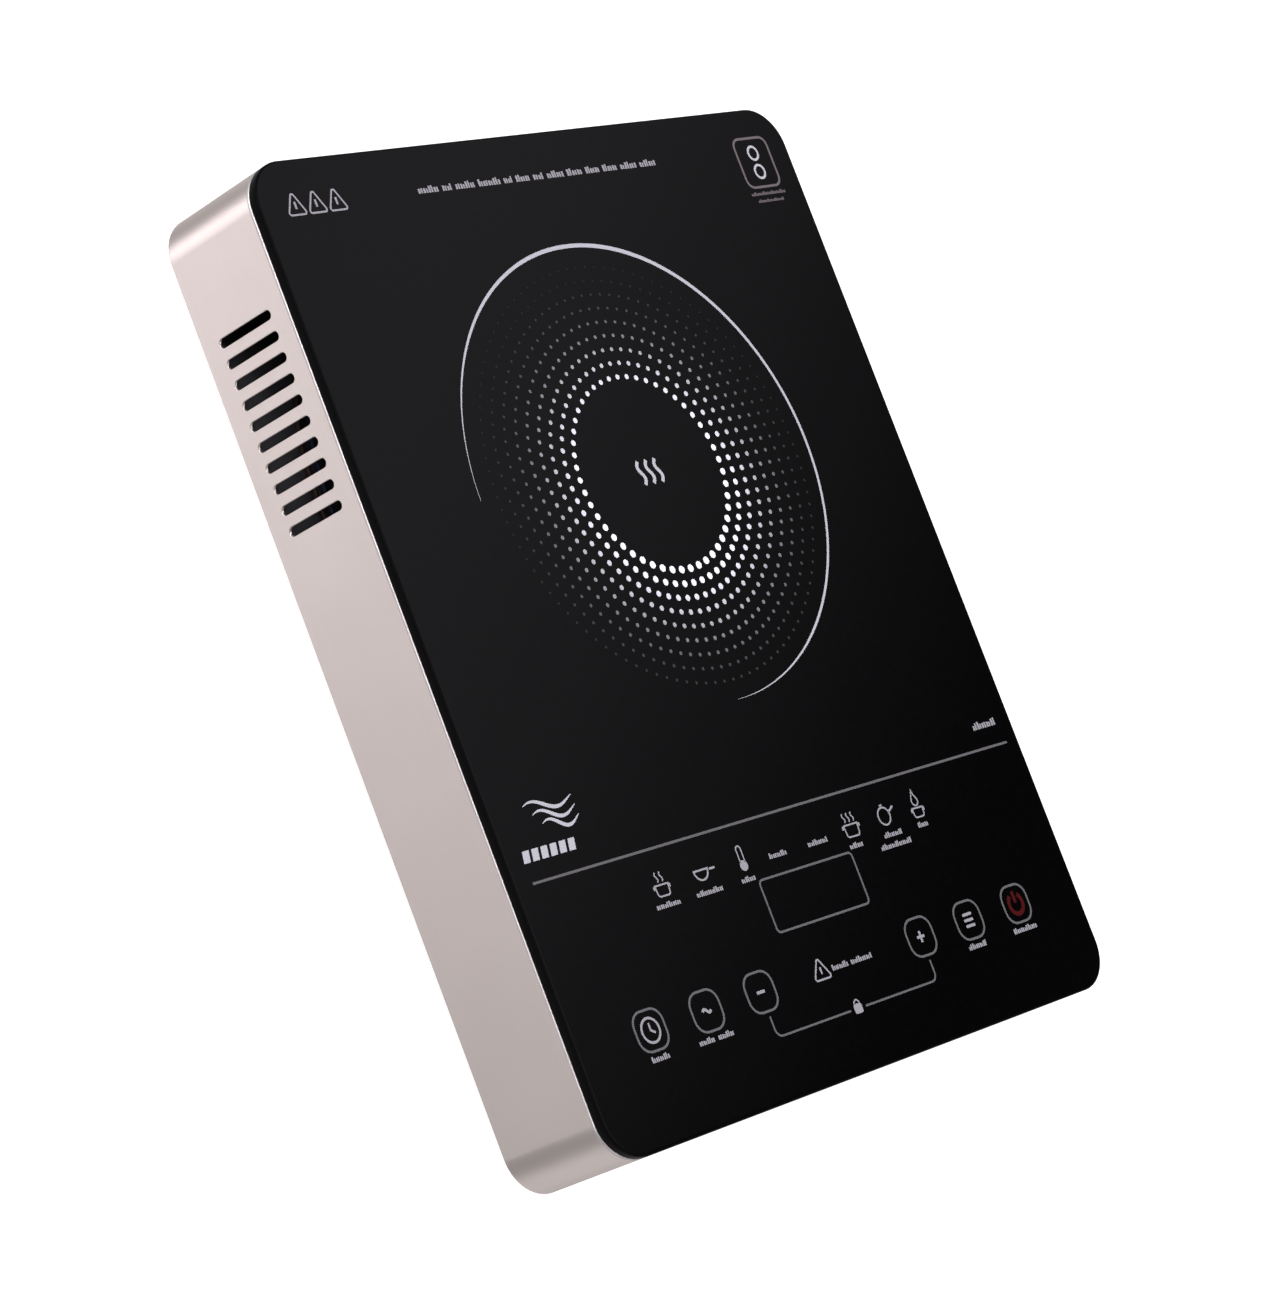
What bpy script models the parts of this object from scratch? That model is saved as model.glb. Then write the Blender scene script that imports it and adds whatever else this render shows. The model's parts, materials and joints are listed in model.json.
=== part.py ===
"""A portable infrared cooktop, as an assembly of separate pieces.

Blender 4.5: blender --background --python part.py, or run it from the text editor.

Every size and place below is in millimetres, and new_piece turns them into Blender's metres.
The origin is on the table, under the middle of the appliance. +X is to the right, +Y to the back
and +Z up. The fan's rotor is the one thing that moves: it hangs on an empty on the fan's axis.
"""

import math

import bmesh
import bpy

MM = 0.001
GAP = 0.3                       # left between pieces that touch

# Outside
WIDTH, DEPTH, HEIGHT = 280.0, 360.0, 60.0
CORNER = 16.0
GLASS_THICK = 4.0
BASE_BOTTOM = 9.75              # the feet's standing height
GLASS_BOTTOM = HEIGHT - GLASS_THICK
HALF_X, HALF_Y = WIDTH / 2, DEPTH / 2

# Side band: a wrap with a flange turned in under the glass
BAND_THICK = 1.0
BAND_TOP = GLASS_BOTTOM - GAP
BAND_FLANGE = 8.0
SLOT_WIDTH, SLOT_LOW, SLOT_HIGH = 3.4, 18.7, 47.2
SLOT_COUNT, SLOT_PITCH, SLOT_FIRST_Y = 10, 7.75, 130.5

# Base pan
FLOOR_THICK = 2.5
FLOOR_TOP = BASE_BOTTOM + FLOOR_THICK
REST = FLOOR_TOP + GAP          # the underside of what stands on the floor
RIM_THICK, RIM_TOP = 2.0, 17.5
BASE_INSET = BAND_THICK + GAP
GRILLE = ((13.0, 4), (20.5, 6), (28.0, 8))      # each ring's radius, and how many slots it has
GRILLE_WIDTH, GRILLE_RIB = 4.0, 3.2
VENT_ROWS, VENT_LENGTH = (98.0, 128.0), 22.0
VENT_COLUMNS, VENT_PITCH, VENT_WIDTH = 11, 9.0, 3.2

# Top frame, inside the band and under its flange
FRAME_TOP = BAND_TOP - BAND_THICK - GAP
FRAME_THICK = 3.0
FRAME_INNER = 16.0              # from the band's outside to the frame's opening
PILLARS = [(x, y) for x in (-128.0, 128.0) for y in (-168.0, 0.0, 168.0)]
PILLAR_RADIUS, PILLAR_BORE, PILLAR_BORE_TOP = 4.5, 2.0, 27.0

# Feet and screws
FEET = {
    "front_left": (-108.0, -148.0),
    "front_right": (108.0, -148.0),
    "back_left": (-108.0, 148.0),
    "back_right": (108.0, 148.0),
}
FOOT_NECK, FOOT_HOLE = 3.0, 3.4
HEAD, HEAD_FACE, SHANK, SHANK_END = 3.6, 2.9, 1.6, 0.5      # a screw's radii
HEAD_ROUND, HEAD_POINT = 0.35, 0.9
SEAT_RADIUS, SEAT_DEPTH, SEAT_BORE = 4.2, 1.3, 2.2          # where a base screw's head goes in

# Heating element
ELEMENT = (0.0, 48.0)
DISH_RADIUS, DISH_BOTTOM, DISH_TOP, DISH_THICK = 92.0, 30.0, 54.3, 1.0
DISH_MIDDLE = 40.0              # where the dish's floor is divided into an inner and an outer face
DISC_TOP = 44.0
RING_INNER = 79.0
RIBBON_OUTER, RIBBON_PITCH, RIBBON_INNER = 73.0, 18.0, 10.0
RIBBON_THICK, RIBBON_HEIGHT = 0.8, 5.0
ROD_RADIUS, ROD_HEIGHT = 2.2, 52.3
BRACKET_X, BRACKET_WIDTH, BRACKET_THICK, BRACKET_TOP = 100.0, 24.0, 1.2, 20.0
BRACKET_SCREWS = {"left": (-108.5, 48.0), "right": (108.5, 48.0)}
SPRING_X = 60.0

# Fan
FAN = (76.0, -104.0)
FAN_SIZE, FAN_BOTTOM, FAN_TOP = 80.0, 14.9, 29.9
DUCT_RADIUS, BLADE_RADIUS, HUB_RADIUS = 37.5, 36.2, 14.5
FAN_HOLE = 35.75                # from the fan's axis to its corner holes
FAN_SCREWS = {
    "front": (FAN[0] + FAN_HOLE, FAN[1] - FAN_HOLE),
    "back": (FAN[0] - FAN_HOLE, FAN[1] + FAN_HOLE),
}
BLADES = 7

# Boards
POWER_X, POWER_Y = (-116.0, 24.0), (-158.0, -58.0)
POWER_BOTTOM, BOARD_THICK = 18.0, 1.6
POWER_TOP = POWER_BOTTOM + BOARD_THICK + GAP
STANDOFFS = [(-92.0, -150.0), (18.0, -150.0), (-108.0, -64.0), (18.0, -64.0)]
CONTROL_X, CONTROL_Y = 118.0, (-158.0, -90.0)
CONTROL_BOTTOM = 46.7
CONTROL_TOP = CONTROL_BOTTOM + BOARD_THICK + GAP
HOLDER_X, HOLDER_Y, HOLDER_Z = 130.0, (-160.0, -88.0), (42.5, 44.0)
HOLDER_LEGS = [(x, y) for x in (-126.0, 126.0) for y in (-150.0, -94.0)]
HOLDER_POSTS = [(x, y) for x in (-112.0, 112.0) for y in (-152.0, -96.0)]
KEYS_X, KEYS_Y = (-103.0, -74.0, -45.2, 45.2, 74.0, 103.0), -141.0
DISPLAY_Y = -113.85

# Mains entry, in the back
GLAND = (-69.0, 30.0)           # x and z of the cord's axis
GLAND_BORE, GLAND_COLLAR, GLAND_HOLE = 3.9, 8.0, 8.5


# ---------------------------------------------------------------- outlines and closed shapes

def rounded_rectangle(half_x, half_y, radius, steps=6):
    """Counter-clockwise points of a rectangle with round corners."""
    points = []
    for quarter, (sign_x, sign_y) in enumerate(((1, 1), (-1, 1), (-1, -1), (1, -1))):
        for step in range(steps + 1):
            angle = math.pi / 2 * (quarter + step / steps)
            points.append((sign_x * (half_x - radius) + radius * math.cos(angle),
                           sign_y * (half_y - radius) + radius * math.sin(angle)))
    return points


def body_outline(inset):
    """The appliance's outline, moved in by inset."""
    return rounded_rectangle(HALF_X - inset, HALF_Y - inset, max(CORNER - inset, 1.0))


def circle(radius, steps, centre=(0.0, 0.0)):
    """Counter-clockwise points of a circle, with a flat side towards +X."""
    turns = [2 * math.pi * (step + 0.5) / steps for step in range(steps)]
    return [(centre[0] + radius * math.cos(turn), centre[1] + radius * math.sin(turn)) for turn in turns]


def stadium(radius, half_length, steps):
    """Counter-clockwise points of a round-ended slot that is long in its second direction."""
    points = []
    for end, centre in enumerate((half_length - radius, radius - half_length)):
        for step in range(steps + 1):
            angle = math.pi * (end + step / steps)
            points.append((radius * math.cos(angle), centre + radius * math.sin(angle)))
    return points


def rectangle(x, y):
    """Counter-clockwise corners between two x and two y values."""
    return [(x[0], y[0]), (x[1], y[0]), (x[1], y[1]), (x[0], y[1])]


def join_loops(mesh, loops, closed):
    """Faces from each loop of points to the next, and from the last to the first if closed."""
    rows = [[mesh.verts.new(point) for point in loop] for loop in loops]
    count = len(rows[0])
    pairs = list(zip(rows, rows[1:])) + ([(rows[-1], rows[0])] if closed else [])
    for low, high in pairs:
        for i in range(count):
            j = (i + 1) % count
            mesh.faces.new((low[i], low[j], high[j], high[i]))
    if not closed:
        mesh.faces.new(reversed(rows[0]))
        mesh.faces.new(rows[-1])


def add_prism(mesh, outline, low, high):
    """An upright prism on an outline."""
    join_loops(mesh, [[(x, y, z) for x, y in outline] for z in (low, high)], closed=False)


def add_box(mesh, x, y, z):
    """A box between two x, two y and two z values."""
    add_prism(mesh, rectangle(x, y), *z)


def add_cylinder(mesh, centre, radius, low, high, steps=12):
    """An upright cylinder."""
    add_prism(mesh, circle(radius, steps, centre), low, high)


def add_section(mesh, outline_at, section):
    """A closed section of (inset, z) points, swept round the outline that outline_at(inset) gives."""
    join_loops(mesh, [[(x, y, z) for x, y in outline_at(inset)] for inset, z in section], closed=True)


def add_turned(mesh, profile, steps, centre=(0.0, 0.0)):
    """A solid turned about an upright axis: (radius, z) points from the axis, out, up and back to it."""
    rings = [circle(radius, steps, centre) for radius, _ in profile]
    loops = [[(x, y, z) for x, y in ring] for ring, (_, z) in zip(rings, profile)]
    join_loops(mesh, loops, closed=False)


def add_turned_ring(mesh, profile, steps, centre=(0.0, 0.0)):
    """A ring turned about an upright axis, from a closed (radius, z) profile."""
    loops = [[(x, y, z) for x, y in circle(radius, steps, centre)] for radius, z in profile]
    join_loops(mesh, loops, closed=True)


def add_strip(mesh, path, width, height, low):
    """A strip on edge, along a flat (x, y) path."""
    sides = []
    for i, (x, y) in enumerate(path):
        before, after = path[max(i - 1, 0)], path[min(i + 1, len(path) - 1)]
        along_x, along_y = after[0] - before[0], after[1] - before[1]
        length = math.hypot(along_x, along_y)
        off_x, off_y = -along_y / length * width / 2, along_x / length * width / 2
        sides.append([(x - off_x, y - off_y, low), (x + off_x, y + off_y, low),
                      (x + off_x, y + off_y, low + height), (x - off_x, y - off_y, low + height)])
    join_loops(mesh, sides, closed=False)


def add_wire(mesh, path, radius, sides):
    """A round wire along a path of (x, y, z) points, closed at both ends."""
    loops, across = [], None
    for i, point in enumerate(path):
        before, after = path[max(i - 1, 0)], path[min(i + 1, len(path) - 1)]
        along = normalised([b - a for a, b in zip(before, after)])
        start = across or ([0.0, 0.0, 1.0] if abs(along[2]) < 0.9 else [1.0, 0.0, 0.0])
        lean = sum(a * b for a, b in zip(start, along))
        across = normalised([a - lean * b for a, b in zip(start, along)])
        third = cross(along, across)
        loop = []
        for side in range(sides):
            turn = 2 * math.pi * side / sides
            loop.append([p + radius * (math.cos(turn) * a + math.sin(turn) * b)
                         for p, a, b in zip(point, across, third)])
        loops.append(loop)
    join_loops(mesh, loops, closed=False)


def normalised(vector):
    """The vector at length one."""
    length = math.sqrt(sum(value * value for value in vector))
    return [value / length for value in vector]


def cross(a, b):
    """The cross product."""
    return [a[1] * b[2] - a[2] * b[1], a[2] * b[0] - a[0] * b[2], a[0] * b[1] - a[1] * b[0]]


def smooth_path(points, steps=4):
    """A Catmull-Rom curve through the points, with steps points to each stretch."""
    ends = [points[0], *points, points[-1]]
    path = []
    for a, b, c, d in zip(ends, ends[1:], ends[2:], ends[3:]):
        for step in range(steps):
            t = step / steps
            path.append([0.5 * (2 * q + (r - p) * t + (2 * p - 5 * q + 4 * r - s) * t * t
                                + (3 * q - p - 3 * r + s) * t ** 3) for p, q, r, s in zip(a, b, c, d)])
    return path + [list(points[-1])]


def helix(centre, radius, low, high, turns, steps):
    """Points up a coil spring, with its first and last half turn lying flat."""
    path = []
    for step in range(int(turns * steps) + 1):
        turn = step / steps
        rise = min(max((turn - 0.5) / (turns - 1), 0.0), 1.0)
        angle = 2 * math.pi * turn
        path.append((centre[0] + radius * math.cos(angle), centre[1] + radius * math.sin(angle),
                     low + (high - low) * rise))
    return path


def on_side(mesh, axis):
    """Lays a mesh made along +Z along +X or +Y; its flat centre becomes (y, z) or (x, z)."""
    for vert in mesh.verts:
        x, y, z = vert.co
        vert.co = (z, x, y) if axis == "X" else (x, z, y)


# ---------------------------------------------------------------- objects, materials and Booleans

def clear_scene():
    """Removes what a new file holds."""
    for old in list(bpy.data.objects):
        bpy.data.objects.remove(old, do_unlink=True)


def new_material(name, colour, roughness, metallic=0.0):
    """A Principled material."""
    material = bpy.data.materials.new(name)
    material.use_nodes = True
    shader = material.node_tree.nodes["Principled BSDF"]
    shader.inputs["Base Color"].default_value = (*colour, 1.0)
    shader.inputs["Roughness"].default_value = roughness
    shader.inputs["Metallic"].default_value = metallic
    return material


def new_piece(name, mesh, material, origin=(0.0, 0.0, 0.0), smooth_under=30.0):
    """An object from a bmesh in millimetres, with its origin at a point in the same frame."""
    for vert in mesh.verts:
        vert.co = [(value - start) * MM for value, start in zip(vert.co, origin)]
    bmesh.ops.recalc_face_normals(mesh, faces=mesh.faces)
    data = bpy.data.meshes.new(name)
    mesh.to_mesh(data)
    mesh.free()
    data.shade_smooth()
    data.set_sharp_from_angle(angle=math.radians(smooth_under))
    data.materials.append(material)
    piece = bpy.data.objects.new(name, data)
    piece.location = [value * MM for value in origin]
    bpy.context.scene.collection.objects.link(piece)
    return piece


def boolean(piece, operation, mesh):
    """Cuts a bmesh from a piece, or joins it to one."""
    tool = new_piece(f"{piece.name}_{operation.lower()}_tool", mesh, piece.data.materials[0])
    tool.hide_render = True
    tool.display_type = "WIRE"
    step = piece.modifiers.new(operation.title(), "BOOLEAN")
    step.operation = operation
    step.solver = "EXACT"
    step.object = tool


def cut(piece, mesh):
    """Takes the bmesh's closed shapes out of the piece."""
    boolean(piece, "DIFFERENCE", mesh)


def join(piece, mesh):
    """Makes the piece one body with the bmesh's closed shapes."""
    boolean(piece, "UNION", mesh)


# ---------------------------------------------------------------- housing

def make_glass(materials):
    """The glass-ceramic plate, with its edges ground."""
    mesh = bmesh.new()
    rows = ((0.6, GLASS_BOTTOM), (0.0, GLASS_BOTTOM + 0.6), (0.0, HEIGHT - 0.8), (0.8, HEIGHT))
    join_loops(mesh, [[(x, y, z) for x, y in body_outline(inset)] for inset, z in rows], closed=False)
    new_piece("glass_top_plate", mesh, materials["glass"])


def make_seal(materials):
    """The silicone bead between the top frame and the glass, inside the band's flange."""
    mesh = bmesh.new()
    inner, outer = FRAME_INNER - 2, BAND_FLANGE + GAP
    low, high = FRAME_TOP + GAP, GLASS_BOTTOM - GAP
    add_section(mesh, body_outline, ((outer, low), (outer, high), (inner, high), (inner, low)))
    new_piece("glass_seal", mesh, materials["silicone"])


def add_vent_slot(mesh, y, x):
    """A round-ended slot cutter that runs along X through a side wall."""
    middle = (SLOT_HIGH + SLOT_LOW) / 2
    outline = stadium(SLOT_WIDTH / 2, (SLOT_HIGH - SLOT_LOW) / 2, steps=5)
    loops = [[(end, y + across, middle + up) for across, up in outline] for end in x]
    join_loops(mesh, loops, closed=False)


def make_side_band(materials):
    """The metal wrap: a wall with a flange under the glass, vent slots and the cord's way in."""
    mesh = bmesh.new()
    add_section(mesh, body_outline, (
        (0.0, BASE_BOTTOM), (0.0, BAND_TOP), (BAND_FLANGE, BAND_TOP), (BAND_FLANGE, BAND_TOP - BAND_THICK),
        (BAND_THICK, BAND_TOP - BAND_THICK), (BAND_THICK, BASE_BOTTOM)))
    band = new_piece("side_band", mesh, materials["band"])
    cutter = bmesh.new()
    for number in range(SLOT_COUNT):
        y = SLOT_FIRST_Y - number * SLOT_PITCH
        for side in (-1, 1):
            add_vent_slot(cutter, y, (side * (HALF_X - 3), side * (HALF_X + 3)))
    outline = circle(GLAND_HOLE, 20, GLAND)
    join_loops(cutter, [[(x, y, z) for x, z in outline] for y in (HALF_Y - 3, HALF_Y + 3)], closed=False)
    cut(band, cutter)


def make_top_frame(materials):
    """The moulded ring that carries the glass, with six pillars for the base screws."""
    mesh = bmesh.new()
    low = FRAME_TOP - FRAME_THICK
    add_section(mesh, body_outline, (
        (BASE_INSET, low), (BASE_INSET, FRAME_TOP), (FRAME_INNER, FRAME_TOP), (FRAME_INNER, low)))
    frame = new_piece("top_frame", mesh, materials["black_plastic"])
    pillars, bores = bmesh.new(), bmesh.new()
    for centre in PILLARS:
        add_cylinder(pillars, centre, PILLAR_RADIUS, REST, FRAME_TOP - 1, steps=12)
        add_cylinder(bores, centre, PILLAR_BORE, REST - 5, PILLAR_BORE_TOP, steps=8)
    join(frame, pillars)
    cut(frame, bores)


def add_arc_slot(mesh, centre, radius, width, start, sweep, z, steps=3):
    """A slot cutter bent round a centre."""
    outline = []
    for side, order in ((width / 2, range(steps + 1)), (-width / 2, range(steps, -1, -1))):
        for step in order:
            angle = start + sweep * step / steps
            outline.append((centre[0] + (radius + side) * math.cos(angle),
                            centre[1] + (radius + side) * math.sin(angle)))
    add_prism(mesh, outline, *z)


def make_base_pan(materials):
    """The moulded tray: intake grille, vents, foot and screw holes, and posts for fan and board."""
    mesh = bmesh.new()
    rows = ((BASE_INSET, BASE_BOTTOM), (BASE_INSET, RIM_TOP), (BASE_INSET + RIM_THICK, RIM_TOP),
            (BASE_INSET + RIM_THICK, FLOOR_TOP))
    join_loops(mesh, [[(x, y, z) for x, y in body_outline(inset)] for inset, z in rows], closed=False)
    pan = new_piece("base_pan", mesh, materials["black_plastic"])

    posts = bmesh.new()
    for centre in STANDOFFS:
        add_cylinder(posts, centre, 4.0, FLOOR_TOP - 1, POWER_BOTTOM - GAP, steps=10)
    for x in (-FAN_HOLE, FAN_HOLE):
        for y in (-FAN_HOLE, FAN_HOLE):
            add_cylinder(posts, (FAN[0] + x, FAN[1] + y), 3.6, FLOOR_TOP - 1, FAN_BOTTOM - GAP, steps=10)
    join(pan, posts)

    through = (BASE_BOTTOM - 2, FLOOR_TOP + 2)
    cutter = bmesh.new()
    for centre in PILLARS:
        seat = BASE_BOTTOM + SEAT_DEPTH
        add_turned(cutter, ((SEAT_RADIUS, through[0]), (SEAT_RADIUS, seat), (SEAT_BORE, seat),
                            (SEAT_BORE, through[1])), 12, centre)
    for centre in FEET.values():
        add_cylinder(cutter, centre, FOOT_HOLE, *through, steps=12)
    for centre in BRACKET_SCREWS.values():
        add_cylinder(cutter, centre, PILLAR_BORE, *through, steps=8)
    for centre in FAN_SCREWS.values():
        add_cylinder(cutter, centre, PILLAR_BORE, BASE_BOTTOM + 1, FAN_BOTTOM + 2, steps=8)
    for radius, count in GRILLE:
        pitch = 2 * math.pi / count
        for number in range(count):
            sweep = pitch - GRILLE_RIB / radius
            add_arc_slot(cutter, FAN, radius, GRILLE_WIDTH, number * pitch, sweep, through)
    for column in range(VENT_COLUMNS):
        x = (column - (VENT_COLUMNS - 1) / 2) * VENT_PITCH
        for y in VENT_ROWS:
            add_box(cutter, (x - VENT_WIDTH / 2, x + VENT_WIDTH / 2),
                    (y - VENT_LENGTH / 2, y + VENT_LENGTH / 2), through)
    cut(pan, cutter)


def make_feet(materials):
    """Four rubber feet, each pushed through the floor until its barb catches."""
    for place, centre in FEET.items():
        mesh = bmesh.new()
        add_turned(mesh, ((7.0, 0.0), (9.5, 1.0), (11.0, BASE_BOTTOM - GAP), (FOOT_NECK, BASE_BOTTOM - GAP),
                          (FOOT_NECK, REST), (4.2, REST), (2.2, REST + 2.2)), 16, centre)
        new_piece(f"foot_{place}", mesh, materials["rubber"])


def screw(name, material, centre, head, shank_to):
    """A pan-head screw: head is its (outer z, seat z), and the shank runs on to shank_to."""
    mesh = bmesh.new()
    outer, seat = head
    up = 1 if seat > outer else -1
    add_turned(mesh, ((HEAD_FACE, outer), (HEAD, outer + up * HEAD_ROUND), (HEAD, seat), (SHANK, seat),
                      (SHANK, shank_to), (SHANK_END, shank_to + up * HEAD_POINT)), 10, centre)
    new_piece(name, mesh, material)


def make_base_screws(materials):
    """Six screws, up through the floor into the top frame's pillars."""
    for number, centre in enumerate(PILLARS, start=1):
        head = (BASE_BOTTOM + 0.1, BASE_BOTTOM + 1.0)
        screw(f"base_screw_{number}", materials["steel"], centre, head, 24.0)


# ---------------------------------------------------------------- heating element

def make_dish(materials):
    """The pressed steel dish, notched at the front for the limiter and the terminals."""
    mesh = bmesh.new()
    inner, floor_top = DISH_RADIUS - DISH_THICK, DISH_BOTTOM + DISH_THICK
    add_turned(mesh, ((DISH_MIDDLE, DISH_BOTTOM), (DISH_RADIUS, DISH_BOTTOM), (DISH_RADIUS, DISH_TOP),
                      (inner, DISH_TOP), (inner, floor_top), (DISH_MIDDLE, floor_top)), 48, ELEMENT)
    dish = new_piece("element_dish", mesh, materials["steel"])
    notch = bmesh.new()
    front = (ELEMENT[1] - DISH_RADIUS - 3, ELEMENT[1] - DISH_RADIUS + 12)
    add_box(notch, (-4.0, 4.0), front, (49.5, DISH_TOP + 5))
    add_box(notch, (14.0, 38.0), front, (DISC_TOP, DISH_TOP + 5))
    cut(dish, notch)


def make_insulation(materials):
    """The pressed microporous disc that the ribbon stands on, and the ring round it."""
    outer = DISH_RADIUS - DISH_THICK - 0.5
    disc = bmesh.new()
    add_cylinder(disc, ELEMENT, outer, DISH_BOTTOM + DISH_THICK + GAP, DISC_TOP, steps=48)
    new_piece("element_insulation_disc", disc, materials["insulation"])
    ring = bmesh.new()
    low, high = DISC_TOP + GAP, GLASS_BOTTOM - GAP
    add_turned_ring(ring, ((outer, low), (outer, high), (RING_INNER, high), (RING_INNER, low)), 48, ELEMENT)
    piece = new_piece("element_insulation_ring", ring, materials["insulation"])
    notch = bmesh.new()
    front, back = ELEMENT[1] - DISH_RADIUS - 3, ELEMENT[1] + DISH_RADIUS + 3
    add_box(notch, (-3.2, 3.2), (front, ELEMENT[1] - 60), (49.4, high + 5))
    add_box(notch, (14.8, 37.2), (front, ELEMENT[1] - 60), (DISC_TOP - 5, 51.0))
    add_box(notch, (-3.2, 3.2), (ELEMENT[1] + 60, back), (49.4, high + 5))
    cut(piece, notch)


def ribbon_arm(end_angle, outer, steps_per_turn=20):
    """One arm of the ribbon's spiral, from near the middle out to its end."""
    turns = (outer - RIBBON_INNER) / RIBBON_PITCH
    count = round(turns * steps_per_turn)
    arm = []
    for step in range(count + 1):
        left = turns * (1 - step / count)
        angle = end_angle + 2 * math.pi * left
        radius = outer - RIBBON_PITCH * left
        arm.append((ELEMENT[0] + radius * math.cos(angle), ELEMENT[1] + radius * math.sin(angle)))
    return arm


def make_ribbon(materials):
    """The heating ribbon: in along one arm, through the middle, and out between its own turns."""
    end, apart = math.radians(-64), math.radians(8)
    first = ribbon_arm(end, RIBBON_OUTER)
    second = ribbon_arm(end - apart, RIBBON_OUTER - RIBBON_PITCH * (math.pi - apart) / (2 * math.pi))
    mesh = bmesh.new()
    add_strip(mesh, first[::-1] + second, RIBBON_THICK, RIBBON_HEIGHT, DISC_TOP + GAP)
    new_piece("heating_ribbon", mesh, materials["ribbon"])


def make_limiter(materials):
    """The thermal limiter: a rod across the element and the switch that it works."""
    back, front = ELEMENT[1] + 84, ELEMENT[1] - DISH_RADIUS
    rod = bmesh.new()
    add_cylinder(rod, (0.0, ROD_HEIGHT), ROD_RADIUS, front, back, steps=10)
    on_side(rod, "Y")
    new_piece("limiter_rod", rod, materials["quartz"])
    head = bmesh.new()
    add_box(head, (-11.0, 11.0), (front - GAP - 16, front - GAP), (45.5, 55.5))
    switch = new_piece("limiter_switch", head, materials["ceramic"])
    tabs = bmesh.new()
    for x in (-7.0, 7.0):
        add_box(tabs, (x - 3, x + 3), (front - GAP - 10, front - GAP - 9.2), (39.0, 46.5))
    join(switch, tabs)


def make_element_terminals(materials):
    """The ceramic block beside the dish, with a pin in to each end of the ribbon."""
    block = bmesh.new()
    add_box(block, (15.0, 37.0), (-57.0, -44.0), (42.0, 52.0))
    piece = new_piece("element_terminal_block", block, materials["ceramic"])
    pins = bmesh.new()
    for x, reach in ((32.0, -18.4), (19.9, -14.2)):
        add_box(pins, (x - 1.4, x + 1.4), (-46.0, reach), (45.5, 48.3))
    join(piece, pins)


def make_bracket(materials):
    """The steel strap across the base that the dish's springs stand on, and its two screws."""
    outer, thick, low = BRACKET_X, BRACKET_THICK, REST
    foot = outer + 16
    half = [(outer, low), (foot, low), (foot, low + thick), (outer + thick, low + thick),
            (outer + thick, BRACKET_TOP)]
    under = [(-outer, low), (-outer, BRACKET_TOP - thick), (outer, BRACKET_TOP - thick)]
    outline = half + [(-x, z) for x, z in half[::-1]] + under[1:]
    mesh = bmesh.new()
    sides = (ELEMENT[1] - BRACKET_WIDTH / 2, ELEMENT[1] + BRACKET_WIDTH / 2)
    join_loops(mesh, [[(x, y, z) for x, z in outline] for y in sides], closed=False)
    bracket = new_piece("element_bracket", mesh, materials["steel"])
    holes = bmesh.new()
    for centre in BRACKET_SCREWS.values():
        add_cylinder(holes, centre, PILLAR_BORE, low - 2, low + thick + 2, steps=8)
    cut(bracket, holes)
    for side, centre in BRACKET_SCREWS.items():
        seat = low + thick + GAP
        screw(f"bracket_screw_{side}", materials["steel"], centre, (seat + 2.0, seat), BASE_BOTTOM + 1.5)
        spring = bmesh.new()
        x = math.copysign(SPRING_X, centre[0])
        wire, low_end = 0.7, BRACKET_TOP + GAP + 0.7
        path = helix((x, ELEMENT[1]), 5.5, low_end, DISH_BOTTOM - GAP - wire, turns=3.5, steps=9)
        add_wire(spring, path, wire, 4)
        new_piece(f"element_spring_{side}", spring, materials["spring"])


def make_sensor(materials):
    """The temperature sensor's post, from the floor to the glass behind the element."""
    mesh = bmesh.new()
    add_turned(mesh, ((4.0, REST), (4.0, REST + 4), (2.4, REST + 5), (2.4, 47.0), (4.4, 48.0),
                      (4.4, GLASS_BOTTOM - GAP)), 10, (0.0, 152.0))
    new_piece("glass_sensor", mesh, materials["ceramic"])


# ---------------------------------------------------------------- fan

def make_fan_frame(materials):
    """The fan's square frame, with a round duct, corner holes and a hub on four struts."""
    half = FAN_SIZE / 2
    mesh = bmesh.new()
    square = [(FAN[0] + x, FAN[1] + y) for x, y in rounded_rectangle(half, half, 4.0, steps=2)]
    add_prism(mesh, square, FAN_BOTTOM, FAN_TOP)
    frame = new_piece("fan_frame", mesh, materials["black_plastic"])
    holes = bmesh.new()
    add_cylinder(holes, FAN, DUCT_RADIUS, FAN_BOTTOM - 3, FAN_TOP + 3, steps=36)
    for x in (-FAN_HOLE, FAN_HOLE):
        for y in (-FAN_HOLE, FAN_HOLE):
            add_cylinder(holes, (FAN[0] + x, FAN[1] + y), 2.1, FAN_BOTTOM - 3, FAN_TOP + 3, steps=8)
    cut(frame, holes)
    struts = bmesh.new()
    arm, reach = 2.0, DUCT_RADIUS + 1.0
    plus = []
    for quarter in range(4):
        for x, y in ((reach, -arm), (reach, arm), (arm, arm)):
            for _ in range(quarter):
                x, y = -y, x
            plus.append((FAN[0] + x, FAN[1] + y))
    add_prism(struts, plus, FAN_BOTTOM + 0.2, FAN_BOTTOM + 2)
    join(frame, struts)
    hub = bmesh.new()
    add_turned(hub, ((14.0, FAN_BOTTOM + 0.1), (14.0, FAN_BOTTOM + 2.1), (4.8, FAN_BOTTOM + 2.1),
                     (4.8, 24.0)), 20, FAN)
    join(frame, hub)
    bore = bmesh.new()
    add_cylinder(bore, FAN, 3.7, FAN_BOTTOM + 1.2, 27.0, steps=12)
    cut(frame, bore)


def make_fan_bearing(materials):
    """The sleeve bearing in the hub's tube."""
    mesh = bmesh.new()
    low, high = FAN_BOTTOM + 1.6, 24.0
    add_turned_ring(mesh, ((3.3, low), (3.3, high), (1.9, high), (1.9, low)), 12, FAN)
    new_piece("fan_bearing", mesh, materials["brass"])


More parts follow.
